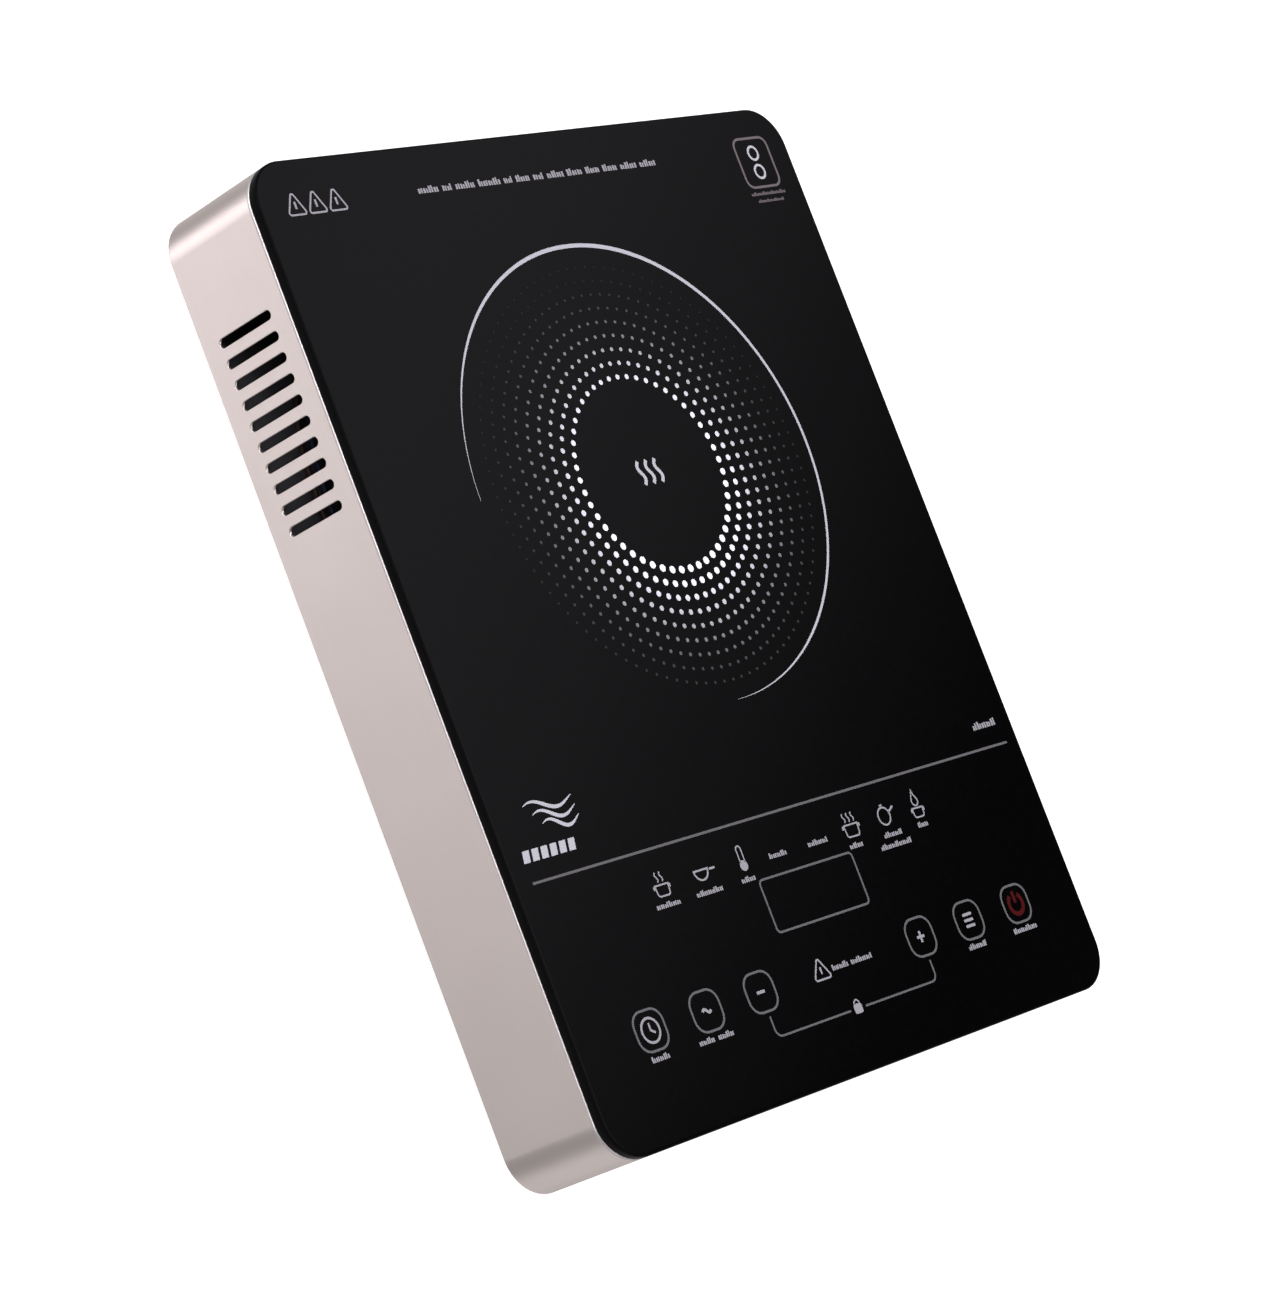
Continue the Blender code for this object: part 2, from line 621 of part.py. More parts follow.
def make_fan_stator(materials):
    """The stator: four wound poles round the hub's tube."""
    steps = 32
    outer = []
    for step in range(steps):
        angle = 2 * math.pi * (step + 0.5) / steps
        radius = 11.6 if math.cos(4 * angle) > -0.5 else 8.0
        outer.append((FAN[0] + radius * math.cos(angle), FAN[1] + radius * math.sin(angle)))
    inner = circle(5.2, steps, FAN)
    mesh = bmesh.new()
    low, high = FAN_BOTTOM + 2.5, 24.0
    section = [(outer, low), (outer, high), (inner, high), (inner, low)]
    join_loops(mesh, [[(x, y, z) for x, y in outline] for outline, z in section], closed=True)
    new_piece("fan_stator", mesh, materials["copper"])


def add_blade(mesh, number, twist_steps=3):
    """One pitched blade, from inside the hub's wall to the tip."""
    sweep, thick, low, high = math.radians(36), 1.2, 18.4, 28.2
    start = 2 * math.pi * number / BLADES
    rows = []
    for step in range(twist_steps + 1):
        share = step / twist_steps
        radius = HUB_RADIUS - 0.8 + (BLADE_RADIUS - HUB_RADIUS + 0.8) * share
        bottom = start + math.radians(14) * share
        top = bottom + sweep * (1 - 0.35 * share)
        edge = thick / radius
        rows.append([(radius, bottom, low), (radius, bottom + edge, low), (radius, top + edge, high),
                     (radius, top, high)])
    join_loops(mesh, [[(FAN[0] + radius * math.cos(angle), FAN[1] + radius * math.sin(angle), z)
                       for radius, angle, z in row] for row in rows], closed=False)


def make_fan_rotor(materials):
    """The impeller and its shaft, both turning on the fan's upright axis."""
    axis = bpy.data.objects.new("fan_axis", None)
    axis.location = [FAN[0] * MM, FAN[1] * MM, 0.0]
    bpy.context.scene.collection.objects.link(axis)
    wall, low, high, inside = 1.5, 17.8, 28.9, 27.2
    cup = bmesh.new()
    add_turned(cup, ((HUB_RADIUS - wall, inside), (HUB_RADIUS - wall, low), (HUB_RADIUS, low),
                     (HUB_RADIUS, high - 0.8), (HUB_RADIUS - 0.8, high)), 24, FAN)
    impeller = new_piece("fan_impeller", cup, materials["fan_plastic"], origin=(*FAN, 0.0))
    blades = bmesh.new()
    for number in range(BLADES):
        add_blade(blades, number)
    join(impeller, blades)
    pin = bmesh.new()
    add_cylinder(pin, FAN, 1.5, FAN_BOTTOM + 1.7, inside - GAP, steps=10)
    shaft = new_piece("fan_shaft", pin, materials["steel"], origin=(*FAN, 0.0))
    for piece in (impeller, shaft):
        piece.parent = axis
        piece.location = (0.0, 0.0, 0.0)


def make_fan_screws(materials):
    """Two screws through opposite corners of the fan's frame."""
    for place, centre in FAN_SCREWS.items():
        seat = FAN_TOP + GAP
        screw(f"fan_screw_{place}", materials["steel"], centre, (seat + 2.0, seat), BASE_BOTTOM + 2.2)


# ---------------------------------------------------------------- electronics

def make_power_board(materials):
    """The power board and what stands on it."""
    board = bmesh.new()
    add_box(board, POWER_X, POWER_Y, (POWER_BOTTOM, POWER_BOTTOM + BOARD_THICK))
    new_piece("power_board", board, materials["board"])
    make_heatsink(materials)
    make_triac(materials)

    core = bmesh.new()
    add_box(core, (-60.0, -24.0), (-84.0, -62.0), (POWER_TOP + 3, 41.0))
    transformer = new_piece("transformer", core, materials["steel"])
    bobbin = bmesh.new()
    add_box(bobbin, (-54.0, -30.0), (-88.0, -59.0), (POWER_TOP, 38.0))
    join(transformer, bobbin)

    blocks = {
        "relay": ((-20.0, -1.0), (-86.0, -70.5), (POWER_TOP, 35.4), "relay_blue"),
        "filter_capacitor": ((-70.0, -44.0), (-152.0, -142.0), (POWER_TOP, 38.9), "capacitor_yellow"),
    }
    for name, (x, y, z, material) in blocks.items():
        mesh = bmesh.new()
        outline = rounded_rectangle((x[1] - x[0]) / 2, (y[1] - y[0]) / 2, 1.0, steps=2)
        middle = (sum(x) / 2, sum(y) / 2)
        add_prism(mesh, [(middle[0] + a, middle[1] + b) for a, b in outline], *z)
        new_piece(name, mesh, materials[material])

    tube = bmesh.new()
    cap, glass, left, right, cap_length = 3.0, 2.4, -34.0, -14.0, 5.0
    add_turned(tube, ((cap, left), (cap, left + cap_length), (glass, left + cap_length),
                      (glass, right - cap_length), (cap, right - cap_length), (cap, right)),
               10, (-148.0, POWER_TOP + cap))
    on_side(tube, "X")
    new_piece("fuse", tube, materials["steel"])


def make_heatsink(materials):
    """An extruded comb: a thick back with fins along X."""
    fins, thick, back, left, right = 7, 1.8, (-138.0, -96.0), -114.0, -86.0
    pitch = (back[1] - back[0] - thick) / (fins - 1)
    outline = [(right, back[0]), (right, back[1])]
    for fin in range(fins):
        y = back[1] - fin * pitch
        outline += [(left, y), (left, y - thick)]
        if fin < fins - 1:
            outline += [(right - 3.5, y - thick), (right - 3.5, y - pitch)]
    mesh = bmesh.new()
    add_prism(mesh, outline, POWER_TOP, 39.5)
    new_piece("heatsink", mesh, materials["aluminium"])


def make_triac(materials):
    """The power switch against the heatsink, on three legs."""
    body = bmesh.new()
    near = -86.0 + GAP
    add_box(body, (near, near + 4.4), (-122.0, -112.0), (25.0, 37.0))
    triac = new_piece("triac", body, materials["dark_resin"])
    legs = bmesh.new()
    for y in (-119.5, -117.0, -114.5):
        add_box(legs, (near + 2.0, near + 2.8), (y - 0.5, y + 0.5), (POWER_TOP, 26.0))
    join(triac, legs)


def make_mains_terminals(materials):
    """The terminal block on the floor, in front of the gland."""
    mesh = bmesh.new()
    x, y, low = (GLAND[0] - 15, GLAND[0] + 15), (144.0, 157.0), REST
    add_box(mesh, x, y, (low, 24.0))
    block = new_piece("mains_terminal_block", mesh, materials["terminal_white"])
    ways = bmesh.new()
    for way in (-10.0, 0.0, 10.0):
        add_cylinder(ways, (GLAND[0] + way, sum(y) / 2), 2.6, 20.0, 30.0, steps=10)
    cut(block, ways)


def make_cord_gland(materials):
    """The cord's bushing, flush in the band's back and held by a collar inside it."""
    inner_wall, face, flange = HALF_Y - BAND_THICK - GAP, HALF_Y - 0.2, GLAND_COLLAR + 3
    neck, neck_end, flange_end = 6.5, 168.0, 176.0
    profile = ((GLAND_COLLAR, face), (GLAND_BORE, face), (GLAND_BORE, neck_end), (neck, neck_end),
               (neck, flange_end), (flange, flange_end), (flange, inner_wall), (GLAND_COLLAR, inner_wall))
    mesh = bmesh.new()
    loops = [[(GLAND[0] + x, y, GLAND[1] + z) for x, z in circle(radius, 20)] for radius, y in profile]
    join_loops(mesh, loops, closed=True)
    new_piece("cord_gland", mesh, materials["rubber"])


def make_control_board(materials):
    """The control board under the touch panel, its holder and what it carries."""
    plate = bmesh.new()
    add_box(plate, (-HOLDER_X, HOLDER_X), HOLDER_Y, HOLDER_Z)
    holder = new_piece("control_board_holder", plate, materials["grey_plastic"])
    stands = bmesh.new()
    for centre in HOLDER_LEGS:
        add_cylinder(stands, centre, 3.5, REST, HOLDER_Z[1] - 0.7, steps=10)
    for centre in HOLDER_POSTS:
        add_cylinder(stands, centre, 3.0, HOLDER_Z[1] - 0.6, CONTROL_BOTTOM - GAP, steps=10)
    join(holder, stands)

    board = bmesh.new()
    add_box(board, (-CONTROL_X, CONTROL_X), CONTROL_Y, (CONTROL_BOTTOM, CONTROL_BOTTOM + BOARD_THICK))
    new_piece("control_board", board, materials["board"])

    module = bmesh.new()
    add_box(module, (-25.0, 25.0), (DISPLAY_Y - 9, DISPLAY_Y + 9), (CONTROL_TOP, GLASS_BOTTOM - GAP))
    new_piece("display_module", module, materials["display"])

    disc = bmesh.new()
    add_cylinder(disc, (-60.0, -112.0), 6.0, CONTROL_TOP, 54.8, steps=16)
    new_piece("buzzer", disc, materials["dark_resin"])

    wire = 0.4
    for number, x in enumerate(KEYS_X, start=1):
        mesh = bmesh.new()
        path = helix((x, KEYS_Y), 3.6, CONTROL_TOP + wire, GLASS_BOTTOM - GAP - wire, turns=3.0, steps=8)
        add_wire(mesh, path, wire, 4)
        new_piece(f"touch_spring_{number}", mesh, materials["spring"])


def make_leads(materials):
    """The wires and the flat cable inside, each held at both ends."""
    terminals = 144.0 - GAP
    routes = {
        "mains_lead_live": ("wire_brown", 1.3, (
            (-79.0, terminals, 18.0), (-79.0, 141.0, 18.0), (-82.0, 137.0, 18.0), (-104.0, 122.0, 17.0),
            (-119.0, 92.0, 16.6), (-119.6, 48.0, 16.6), (-119.2, 0.0, 16.6), (-118.4, -40.0, 18.0),
            (-112.0, -60.0, 25.5), (-105.0, -73.0, 26.0), (-105.0, -73.0, 22.0),
            (-105.0, -73.0, POWER_TOP))),
        "mains_lead_neutral": ("wire_blue", 1.3, (
            (-69.0, terminals, 18.0), (-69.0, 141.0, 18.0), (-72.0, 137.0, 18.4), (-100.0, 118.0, 21.0),
            (-118.0, 90.0, 21.0), (-119.6, 48.0, 21.0), (-119.2, 0.0, 21.0), (-117.0, -38.0, 23.5),
            (-107.0, -58.0, 30.5), (-99.5, -73.0, 27.0), (-99.5, -73.0, 22.0),
            (-99.5, -73.0, POWER_TOP))),
        "limiter_lead": ("wire_white", 1.1, (
            (-7.0, -49.9, 38.7), (-7.0, -49.9, 36.5), (-7.0, -51.0, 34.0), (-5.0, -60.0, 28.0),
            (5.0, -67.0, 25.0), (5.0, -67.0, 22.0), (5.0, -67.0, POWER_TOP))),
        "element_lead": ("wire_white", 1.1, (
            (20.0, -51.0, 41.7), (20.0, -51.0, 39.5), (20.0, -51.6, 37.0), (17.0, -58.0, 29.0),
            (10.5, -70.0, 25.0), (10.5, -70.0, 22.0), (10.5, -70.0, POWER_TOP))),
        "fan_lead": ("wire_red", 0.9, (
            (35.6, -84.0, 27.0), (34.0, -84.0, 27.0), (31.0, -84.0, 27.3), (24.0, -86.0, 28.0),
            (17.0, -88.0, 25.0), (17.0, -88.0, 22.0), (17.0, -88.0, POWER_TOP))),
    }
    for name, (material, radius, points) in routes.items():
        mesh = bmesh.new()
        add_wire(mesh, smooth_path(points, steps=2), radius, 6)
        new_piece(name, mesh, materials[material])

    half, thick = 6.0, 0.9
    path = smooth_path(((-66.0, POWER_TOP), (-67.0, 28.0), (-79.0, 39.0), (-84.0, 46.0), (-89.0, 51.6),
                        (-95.0, 51.4), (-97.0, CONTROL_TOP)), steps=2)
    mesh = bmesh.new()
    loops = []
    for i, (y, z) in enumerate(path):
        before, after = path[max(i - 1, 0)], path[min(i + 1, len(path) - 1)]
        length = math.hypot(after[0] - before[0], after[1] - before[1])
        off_y = -(after[1] - before[1]) / length * thick / 2
        off_z = (after[0] - before[0]) / length * thick / 2
        loops.append([(-88.0 - half, y - off_y, z - off_z), (-88.0 + half, y - off_y, z - off_z),
                      (-88.0 + half, y + off_y, z + off_z), (-88.0 - half, y + off_y, z + off_z)])
    join_loops(mesh, loops, closed=False)
    new_piece("ribbon_cable", mesh, materials["wire_grey"])


def make_materials():
    """The materials, by name: colour, roughness and metallic."""
    table = {
        "glass": ((0.012, 0.011, 0.013), 0.08, 0.0),
        "band": ((0.62, 0.56, 0.54), 0.36, 1.0),
        "silicone": ((0.02, 0.02, 0.02), 0.6, 0.0),
        "black_plastic": ((0.025, 0.025, 0.027), 0.5, 0.0),
        "grey_plastic": ((0.2, 0.2, 0.21), 0.5, 0.0),
        "fan_plastic": ((0.05, 0.05, 0.055), 0.4, 0.0),
        "rubber": ((0.03, 0.03, 0.03), 0.8, 0.0),
        "steel": ((0.55, 0.55, 0.56), 0.35, 1.0),
        "spring": ((0.6, 0.58, 0.52), 0.3, 1.0),
        "aluminium": ((0.7, 0.7, 0.72), 0.4, 1.0),
        "brass": ((0.7, 0.5, 0.2), 0.35, 1.0),
        "copper": ((0.6, 0.28, 0.12), 0.35, 1.0),
        "insulation": ((0.72, 0.7, 0.64), 0.95, 0.0),
        "ribbon": ((0.3, 0.28, 0.27), 0.5, 1.0),
        "quartz": ((0.75, 0.75, 0.72), 0.2, 0.0),
        "ceramic": ((0.8, 0.78, 0.72), 0.5, 0.0),
        "board": ((0.05, 0.2, 0.08), 0.45, 0.0),
        "relay_blue": ((0.05, 0.15, 0.45), 0.35, 0.0),
        "capacitor_yellow": ((0.7, 0.5, 0.06), 0.4, 0.0),
        "dark_resin": ((0.02, 0.02, 0.02), 0.35, 0.0),
        "terminal_white": ((0.75, 0.74, 0.7), 0.45, 0.0),
        "display": ((0.03, 0.02, 0.02), 0.2, 0.0),
        "wire_brown": ((0.16, 0.06, 0.03), 0.5, 0.0),
        "wire_blue": ((0.03, 0.1, 0.4), 0.5, 0.0),
        "wire_white": ((0.75, 0.73, 0.68), 0.7, 0.0),
        "wire_red": ((0.5, 0.03, 0.03), 0.5, 0.0),
        "wire_grey": ((0.35, 0.35, 0.36), 0.5, 0.0),
    }
    return {name: new_material(name, *values) for name, values in table.items()}


def main():
    """Makes every piece."""
    clear_scene()
    materials = make_materials()
    for make in (make_glass, make_seal, make_side_band, make_top_frame, make_base_pan, make_feet,
                 make_base_screws, make_dish, make_insulation, make_ribbon, make_limiter,
                 make_element_terminals, make_bracket, make_sensor, make_fan_frame, make_fan_bearing,
                 make_fan_stator, make_fan_rotor, make_fan_screws, make_power_board, make_mains_terminals,
                 make_cord_gland, make_control_board, make_leads):
        make(materials)


main()
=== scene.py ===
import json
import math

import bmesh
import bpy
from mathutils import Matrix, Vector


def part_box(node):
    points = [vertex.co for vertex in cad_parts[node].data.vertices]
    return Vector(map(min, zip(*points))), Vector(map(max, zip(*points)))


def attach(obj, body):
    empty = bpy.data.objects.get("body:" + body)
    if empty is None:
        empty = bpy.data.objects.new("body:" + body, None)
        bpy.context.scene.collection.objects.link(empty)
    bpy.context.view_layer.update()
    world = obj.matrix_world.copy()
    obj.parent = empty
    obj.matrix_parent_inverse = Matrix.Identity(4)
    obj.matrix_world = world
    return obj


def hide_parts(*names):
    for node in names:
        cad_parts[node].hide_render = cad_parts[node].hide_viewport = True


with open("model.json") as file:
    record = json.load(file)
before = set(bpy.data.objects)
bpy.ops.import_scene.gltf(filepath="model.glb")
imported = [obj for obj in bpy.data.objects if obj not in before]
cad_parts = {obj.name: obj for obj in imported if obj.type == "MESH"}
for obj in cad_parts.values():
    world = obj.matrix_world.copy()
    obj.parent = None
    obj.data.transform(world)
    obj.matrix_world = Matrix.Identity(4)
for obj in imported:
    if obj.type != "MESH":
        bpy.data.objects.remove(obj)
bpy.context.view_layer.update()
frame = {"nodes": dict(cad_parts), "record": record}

# The looks of a portable infrared cooktop, built round its imported CAD model.
#
# Sizes and places below are in millimetres, in the CAD model's own frame: the origin is on the table
# under the middle of the appliance, +X is to the right, +Y to the back and +Z up. mesh_object turns them
# into metres. Every piece made here rides on the housing but the fan's rotor. The studio's own measures are
# in metres.

MM = 0.001
SMOOTH_UNDER = 35.0             # edges with less than this angle, in degrees, are shaded smooth


def corners(node):
    """A CAD node's lowest and highest corner, in millimetres."""
    low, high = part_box(node)
    return low / MM, high / MM


def middle(node):
    """The x and y of a CAD node's middle, in millimetres."""
    low, high = corners(node)
    return (low.x + high.x) / 2, (low.y + high.y) / 2


def nodes_with(word):
    """The names of the CAD nodes that have a word in them."""
    return [name for name in frame["nodes"] if word in name]


# What the CAD model gives
GLASS_LOW, GLASS_HIGH = corners("glass_top_plate")
BAND_LOW, BAND_HIGH = corners("side_band")
PAN_LOW, PAN_HIGH = corners("base_pan")
HALF_X, HALF_Y = GLASS_HIGH.x, GLASS_HIGH.y
CORNER = 16.0                   # the outline's corner radius
CORNER_STEPS = 14

# Glass and its print
INK = 0.04                      # how thick the print stands on the glass
GLASS_FACE = GLASS_HIGH.z - INK
LINE = 0.85                     # the width of the panel's lines

# Side band
WALL, FLANGE, LIP_RISE = 1.0, 8.0, 0.12
SLOT_WIDTH, SLOT_LOW, SLOT_HIGH = 3.4, 18.7, 47.2
SLOT_COUNT, SLOT_PITCH, SLOT_FIRST_Y = 10, 7.75, 130.5
GLAND_X, GLAND_Z, GLAND_HOLE = -69.0, 30.0, 8.5

# Base pan and what goes through it
PAN_FLOOR = 2.5
STANDOFFS = ((-92.0, -150.0), (18.0, -150.0), (-108.0, -64.0), (18.0, -64.0))
GRILLE = ((13.0, 4), (20.5, 6), (28.0, 8))      # each ring's radius, and how many slots it has
GRILLE_WIDTH, GRILLE_RIB = 4.0, 3.2
VENT_ROWS, VENT_LENGTH = (98.0, 128.0), 22.0
VENT_COLUMNS, VENT_PITCH, VENT_WIDTH = 11, 9.0, 3.2
EJECTOR_MARKS = ((-70.0, 70.0), (70.0, 70.0), (60.0, 20.0), (-100.0, -60.0), (0.0, 160.0), (-20.0, -130.0))
PLATE_PLACE, PLATE_HALF = (-34.0, -8.0), (36.0, 22.0)       # the rating plate under the appliance

# Fan
FAN = middle("fan_frame")
FAN_LOW, FAN_HIGH = corners("fan_frame")
FAN_HOLE, DUCT_RADIUS = 35.75, 37.5             # from the axis to the corner holes, and to the duct's wall
FAN_CORNERS = [(FAN[0] + x, FAN[1] + y) for x in (-FAN_HOLE, FAN_HOLE) for y in (-FAN_HOLE, FAN_HOLE)]
BLADES, BLADE_RADIUS, HUB_RADIUS = 7, 36.2, 14.5

# Heating ribbon
ELEMENT = middle("element_dish")
RIBBON_OUTER, RIBBON_PITCH, RIBBON_INNER, RIBBON_END = 73.0, 18.0, 10.0, math.radians(-64)
RIBBON_WAVE, RIBBON_WAVE_LENGTH, RIBBON_HALF_WIDTH = 1.1, 5.5, 0.2

# The burner's printed zone
ZONE, DOTS_CENTRE = (-1.5, 47.7), (-1.3, 47.15)
DOT_RINGS, DOT_FIRST, DOT_PITCH = 9, 37.1, 5.34
DOT_COUNT, DOT_MORE, DOT_SIZE, DOT_FADE = 49, 7, 2.5, 0.89
ARC_RADIUS = 87.8
ARC_WIDTHS = ((179, 0.15), (162, 0.4), (135, 1.05), (100, 1.5), (70, 1.65), (10, 1.2), (-50, 1.05),
              (-90, 0.1))       # turn in degrees, and the ring's width there

# The panel's layout
FUNCTION_LABELS, SECOND_LABELS, KEY_ROW, KEY_LABELS, LOCK_ROW = -102.3, -106.3, -141.0, -150.7, -157.7
KEY_COLUMNS = (-103.0, -74.0, -45.2, 45.2, 74.0, 103.0)

# The studio's hung cards: brightness by turn in degrees, from -X (0) towards +Y, as a share of the brightest
CARDS = ((-180, 0.0), (-150, 0.0), (-125, 0.16), (-98, 0.1), (-72, 0.19), (-48, 0.0), (-30, 0.0),
         (-16, 0.0), (-5, 0.0), (5, 0.13), (16, 0.275), (30, 0.27), (48, 1.0), (66, 0.06), (86, 0.0),
         (107, 0.0), (121, 0.16), (135, 0.0), (149, 0.0), (180, 0.0))
BRIGHTEST_CARD = 42.0
CARD_FOOT, CARD_TOP = (0.52, 0.64), (0.84, 0.94)    # heights, as the sine of the angle above the horizon
WALL_TOP, WALL_GREY = (0.38, 0.56), 0.35
# The ceiling's glow grows over GLOW_DEPTH, from where the direction's y + GLOW_TILT * z is GLOW_START
GLOW_TILT, GLOW_START, GLOW_DEPTH, GLOW_LEVELS = 1.5, 0.975, 0.26, (0.009, 0.24)
LIGHT_TINT = (1.0, 0.95, 1.02)

# Table top, in millimetres, and camera, in metres and degrees
FLOOR_RADIUS, FLOOR_DROP = 30000.0, 0.05            # the drop keeps the floor just clear of the feet
LENS, SENSOR = 118.47, 36.0
CAMERA_PLACE, CAMERA_TURN = (-1.1336, -0.1809, 1.0599), (26.423, -41.456, -28.146)


# ---------------------------------------------------------------- outlines and closed shapes

def circle(radius, steps, centre=(0.0, 0.0)):
    """Counter-clockwise points of a circle."""
    return arc(centre, radius, 0.0, 360.0 * (steps - 1) / steps, steps - 1)


def arc(centre, radius, start, end, steps):
    """Points along an arc between two angles in degrees, both ends included."""
    points = []
    for step in range(steps + 1):
        angle = math.radians(start + (end - start) * step / steps)
        points.append((centre[0] + radius * math.cos(angle), centre[1] + radius * math.sin(angle)))
    return points


def rounded_rectangle(half_x, half_y, radius, steps=CORNER_STEPS, centre=(0.0, 0.0)):
    """Counter-clockwise points of a rectangle with round corners."""
    points = []
    for quarter, (side_x, side_y) in enumerate(((1, 1), (-1, 1), (-1, -1), (1, -1))):
        corner = (centre[0] + side_x * (half_x - radius), centre[1] + side_y * (half_y - radius))
        points += arc(corner, radius, 90.0 * quarter, 90.0 * (quarter + 1), steps)
    return points


def body_outline(inset):
    """The appliance's outline, moved in by inset."""
    return rounded_rectangle(HALF_X - inset, HALF_Y - inset, max(CORNER - inset, 1.0))


def stadium(radius, half_length, steps=10):
    """Counter-clockwise points of a round-ended slot that is long in its second direction."""
    reach = half_length - radius
    return arc((0.0, reach), radius, 0.0, 180.0, steps) + arc((0.0, -reach), radius, 180.0, 360.0, steps)


def filleted(points, radius, steps=4):
    """A closed outline with its corners rounded; radius is one number, or one for each corner."""
    radii = radius if isinstance(radius, (list, tuple)) else [radius] * len(points)
    outline = []
    for i, point in enumerate(points):
        corner = Vector(point)
        back = Vector(points[i - 1]) - corner
        ahead = Vector(points[(i + 1) % len(points)]) - corner
        half = back.angle(ahead) / 2
        reach = min(radii[i] / math.tan(half), 0.49 * back.length, 0.49 * ahead.length)
        if reach < 1e-4:
            outline.append(tuple(corner))
            continue
        round_radius = reach * math.tan(half)
        inward = (back.normalized() + ahead.normalized()).normalized()
        middle = corner + inward * round_radius / math.sin(half)
        start = corner + back.normalized() * reach - middle
        end = corner + ahead.normalized() * reach - middle
        for step in range(steps + 1):
            share = step / steps
            outline.append(tuple(middle + (start * (1 - share) + end * share).normalized() * round_radius))
    return outline


def join_loops(mesh, loops, closed):
    """Faces from each loop of points to the next, and from the last to the first if closed."""
    rows = [[mesh.verts.new(point) for point in loop] for loop in loops]
    pairs = list(zip(rows, rows[1:])) + ([(rows[-1], rows[0])] if closed else [])
    count = len(rows[0])
    for low, high in pairs:
        for i in range(count):
            j = (i + 1) % count
            mesh.faces.new((low[i], low[j], high[j], high[i]))
    if not closed:
        mesh.faces.new(reversed(rows[0]))
        mesh.faces.new(rows[-1])


def add_prism(mesh, outline, low, high):
    """An upright prism on an outline."""
    join_loops(mesh, [[(x, y, z) for x, y in outline] for z in (low, high)], closed=False)


def add_box(mesh, x, y, z):
    """A box between two x, two y and two z values."""
    add_prism(mesh, [(x[0], y[0]), (x[1], y[0]), (x[1], y[1]), (x[0], y[1])], *z)


def add_section(mesh, outline_at, section, closed=True):
    """A section of (inset, z) points, swept round the outline that outline_at(inset) gives."""
    join_loops(mesh, [[(x, y, z) for x, y in outline_at(inset)] for inset, z in section], closed)


def add_turned(mesh, profile, steps, centre=(0.0, 0.0), ring=False):
    """A solid turned about an upright axis, from its (radius, z) profile; a ring's profile is closed."""
    loops = [[(x, y, z) for x, y in circle(radius, steps, centre)] for radius, z in profile]
    join_loops(mesh, loops, closed=ring)


def add_wire(mesh, path, radius, sides=12):
    """A round wire along a path of points, closed at both ends."""
    loops, across = [], None
    for i, point in enumerate(path):
        along = (Vector(path[min(i + 1, len(path) - 1)]) - Vector(path[max(i - 1, 0)])).normalized()
        start = across or (Vector((0, 0, 1)) if abs(along.z) < 0.9 else Vector((1, 0, 0)))
        across = (start - along * start.dot(along)).normalized()
        third = along.cross(across)
        turns = [2 * math.pi * side / sides for side in range(sides)]
        loops.append([Vector(point) + (across * math.cos(turn) + third * math.sin(turn)) * radius
                      for turn in turns])
    join_loops(mesh, loops, closed=False)


def edges_of_line(points, width, closed):
    """The left and right edge of a flat line; width is one number, or one for each point."""
    widths = width if isinstance(width, list) else [width] * len(points)
    points = [Vector(point) for point in points]
    left, right = [], []
    for i, point in enumerate(points):
        before = points[i - 1] if closed or i > 0 else None
        after = points[(i + 1) % len(points)] if closed or i + 1 < len(points) else None
        back = (point - (before or 2 * point - after)).normalized()
        ahead = ((after or 2 * point - before) - point).normalized()
        along = (back + ahead).normalized()
        reach = widths[i] / 2 / max(along.dot(back), 0.5)
        across = Vector((-along.y, along.x)) * reach
        left.append(point + across)
        right.append(point - across)
    return left, right


# ---------------------------------------------------------------- objects

def mesh_object(name, mesh, material, smooth_under=SMOOTH_UNDER):
    """An object from a bmesh in millimetres."""
    for vert in mesh.verts:
        vert.co *= MM
    bmesh.ops.recalc_face_normals(mesh, faces=mesh.faces)
    data = bpy.data.meshes.new(name)
    mesh.to_mesh(data)
    mesh.free()
    data.shade_smooth()
    data.set_sharp_from_angle(angle=math.radians(smooth_under))
    data.materials.append(material)
    made = bpy.data.objects.new(name, data)
    bpy.context.scene.collection.objects.link(made)
    return made


def new_piece(name, mesh, finish, body="housing", replaces=(), smooth_under=SMOOTH_UNDER):
    """A visible piece from a bmesh, with a finish and riding on a body; it hides the CAD nodes that it
    replaces.
    """
    piece = mesh_object(name, mesh, MATERIALS[finish], smooth_under)
    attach(piece, body)
    if replaces:
        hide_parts(*replaces)
    return piece


def combine(piece, operation, mesh):
    """Joins a bmesh's closed shapes to a piece, or cuts them from it, for good."""
    tool = mesh_object("tool", mesh, piece.data.materials[0])
    step = piece.modifiers.new("Boolean", "BOOLEAN")
    step.operation, step.solver, step.object = operation, "EXACT", tool
    graph = bpy.context.evaluated_depsgraph_get()
    result = bpy.data.meshes.new_from_object(piece.evaluated_get(graph))
    piece.modifiers.clear()
    piece.data = result
    bpy.data.objects.remove(tool, do_unlink=True)
    result.shade_smooth()
    result.set_sharp_from_angle(angle=math.radians(SMOOTH_UNDER))


def weld(piece):
    """Makes a CAD node's faces share their corners."""
    piece.modifiers.new("One skin", "WELD").merge_threshold = 0.001 * MM


def ease_edges(piece, width, segments=2, sharper_than=40.0):
    """Rounds a piece's sharp edges a little, and keeps its flat faces flat to the light."""
    if piece.name in frame["nodes"]:
        weld(piece)
    bevel = piece.modifiers.new("Eased edges", "BEVEL")
    bevel.width = width * MM
    bevel.segments = segments
    bevel.limit_method = "ANGLE"
    bevel.angle_limit = math.radians(sharper_than)
    piece.modifiers.new("Flat faces", "WEIGHTED_NORMAL").keep_sharp = True


# ---------------------------------------------------------------- materials

MATERIALS = {}


